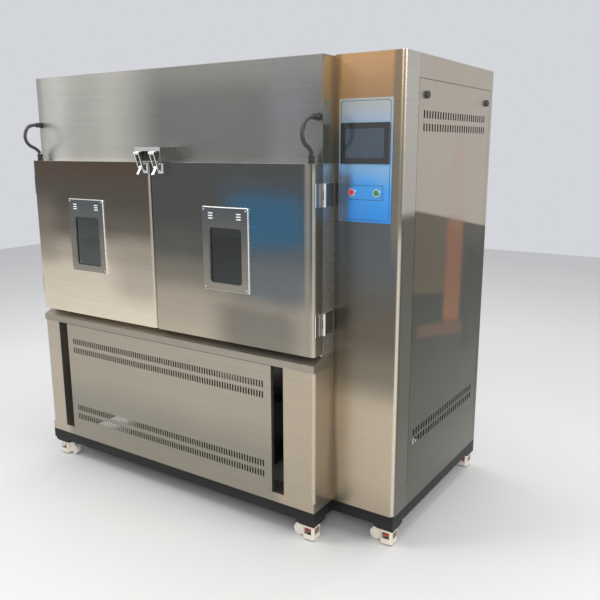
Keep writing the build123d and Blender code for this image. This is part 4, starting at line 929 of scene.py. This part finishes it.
def plateLines(shape):
    x, y = panelLook["middle"], panelLook["front"]
    for level, size, radius in (
        ("plateMiddle", "border", panelLook["borderRadius"]), ("buttonLevel", "buttonFrame", 0.002),
    ):
        frontLine(shape, (x, y, panelLook[level]), panelLook[size], radius, panelLook["line"], panelLook["lineHeight"])


def liveArea(shape):
    place = (panelLook["middle"], panelLook["screenFront"], panelLook["screenMiddle"])
    frontPlate(shape, place, panelLook["liveArea"], 0.006, 0.0004, 0.0002)


def displayFinish():
    finish = Finish("displayGlass")
    haze = finish.noise((9.0, 9.0, 12.0), detail=4.0, roughness=0.6, distortion=0.7)
    # The blue-grey is a painted faint glow of the live screen, mottled by noise
    colour = finish.mix(haze, (0.022, 0.036, 0.056), (0.050, 0.072, 0.098))
    roughness = (haze - 0.5) * 0.1 + 0.14
    return finish.set(colour=colour, roughness=roughness, coat=0.8, coatRoughness=0.05)


finishes["displayGlass"] = displayFinish()
addPiece("plateLines", meshFrom(plateLines), "cabinet", "lineInk")
addPiece("displayArea", meshFrom(liveArea), "cabinet", "displayGlass")

# Windows: three short bars on each side of the bare label place, corner screws, a rubber edge
windowLook = {
    "labelDrop": 0.036,
    "barOut": 0.072,
    "bar": (0.023, 0.0044),
    "barStep": 0.0104,
    "screwInset": 0.012,
    "screwRadius": 0.0042,
    "glass": (0.167, 0.227),
    "glassLift": 0.031,
    "glassCorner": 0.015,
    "sealLine": 0.0035,
    "sealDepth": 0.004,
}


def labelBars(shape, low, high):
    middle = (low[0] + high[0]) / 2
    for hand in (-1, 1):
        for row in (-1, 0, 1):
            level = high[2] - windowLook["labelDrop"] + row * windowLook["barStep"]
            place = (middle + hand * windowLook["barOut"], low[1], level)
            frontPlate(shape, place, windowLook["bar"], 0.0008, 0.0005, 0.0002)


def frameScrews(shape, low, high):
    inset, radius = windowLook["screwInset"], windowLook["screwRadius"]
    profile = [(0.0, radius), (0.0008, radius), (0.0018, radius * 0.75), (0.0022, radius * 0.3), (0.0016, 0.0)]
    for x in (low[0] + inset, high[0] - inset):
        for z in (low[2] + inset, high[2] - inset):
            turned(shape, profile, (x, low[1], z), (0, -1, 0), around=16)


def windowSeal(shape, low, high):
    level = low[2] + windowLook["glassLift"] + windowLook["glass"][1] / 2
    place = ((low[0] + high[0]) / 2, high[1], level)
    size, line = windowLook["glass"], windowLook["sealLine"]
    frontLine(shape, place, size, windowLook["glassCorner"], line, windowLook["sealDepth"])


for side in ("left", "right"):
    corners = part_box(side + "_window_frame")
    for name, make, finish, slot in (
        ("LabelBars", labelBars, "whiteInk", "brushed_stainless"),
        ("FrameScrews", frameScrews, "zinc", "brushed_stainless"),
        ("WindowSeal", windowSeal, "sealRubber", "gasket"),
    ):
        mesh = meshFrom(lambda shape: make(shape, *corners))
        addPiece(side + name, mesh, side + "_door", finish)
print("control plate and windows dressed")


# Studio: a pale floor and soft light from large panels
studio = {
    "floorSize": 16.0,
    "floorTone": (0.66, 0.655, 0.64),
    "worldTone": (0.93, 0.95, 1.0),
    "worldStrength": 0.70,
    "panels": [
        {"place": (-2.3, -2.5, 4.2), "aim": (-0.1, -0.5, 1.2), "size": (1.8, 1.8), "power": 95.0},
        {"place": (3.6, -5.0, 3.6), "aim": (0.2, -0.4, 0.8), "size": (2.4, 2.4), "power": 125.0},
        {"place": (5.0, 0.2, 3.4), "aim": (0.9, 0.2, 1.0), "size": (2.2, 2.6), "power": 85.0},
        {"place": (0.0, 0.6, 4.8), "aim": (0.0, 0.0, 0.0), "size": (3.6, 2.6), "power": 110.0},
    ],
}


def makeStudio():
    size = studio["floorSize"] / 2
    mesh = bpy.data.meshes.new("floor")
    mesh.from_pydata([(-size, -size, 0), (size, -size, 0), (size, size, 0), (-size, size, 0)], [], [(0, 1, 2, 3)])
    floor = bpy.data.objects.new("floor", mesh)
    bpy.context.scene.collection.objects.link(floor)
    finish = Finish("paleFloor")
    cloud = finish.noise((0.8, 0.8, 0.8), detail=3.0)
    colour = finish.shade(studio["floorTone"], cloud, 0.97, 1.03)
    mesh.materials.append(finish.set(colour=colour, roughness=(cloud - 0.5) * 0.1 + 0.55))
    world = bpy.data.worlds.new("studio")
    world.use_nodes = True
    background = world.node_tree.nodes["Background"]
    background.inputs[0].default_value = (*studio["worldTone"], 1)
    background.inputs[1].default_value = studio["worldStrength"]
    bpy.context.scene.world = world
    for index, panel in enumerate(studio["panels"]):
        data = bpy.data.lights.new("softPanel%d" % (index + 1), "AREA")
        data.shape = "RECTANGLE"
        data.size, data.size_y = panel["size"]
        data.energy = panel["power"]
        lamp = bpy.data.objects.new(data.name, data)
        bpy.context.scene.collection.objects.link(lamp)
        lamp.location = panel["place"]
        lamp.rotation_euler = (Vector(panel["aim"]) - Vector(panel["place"])).to_track_quat("-Z", "Y").to_euler()


makeStudio()
bpy.context.scene.view_settings.view_transform = "Standard"
print("studio ready")
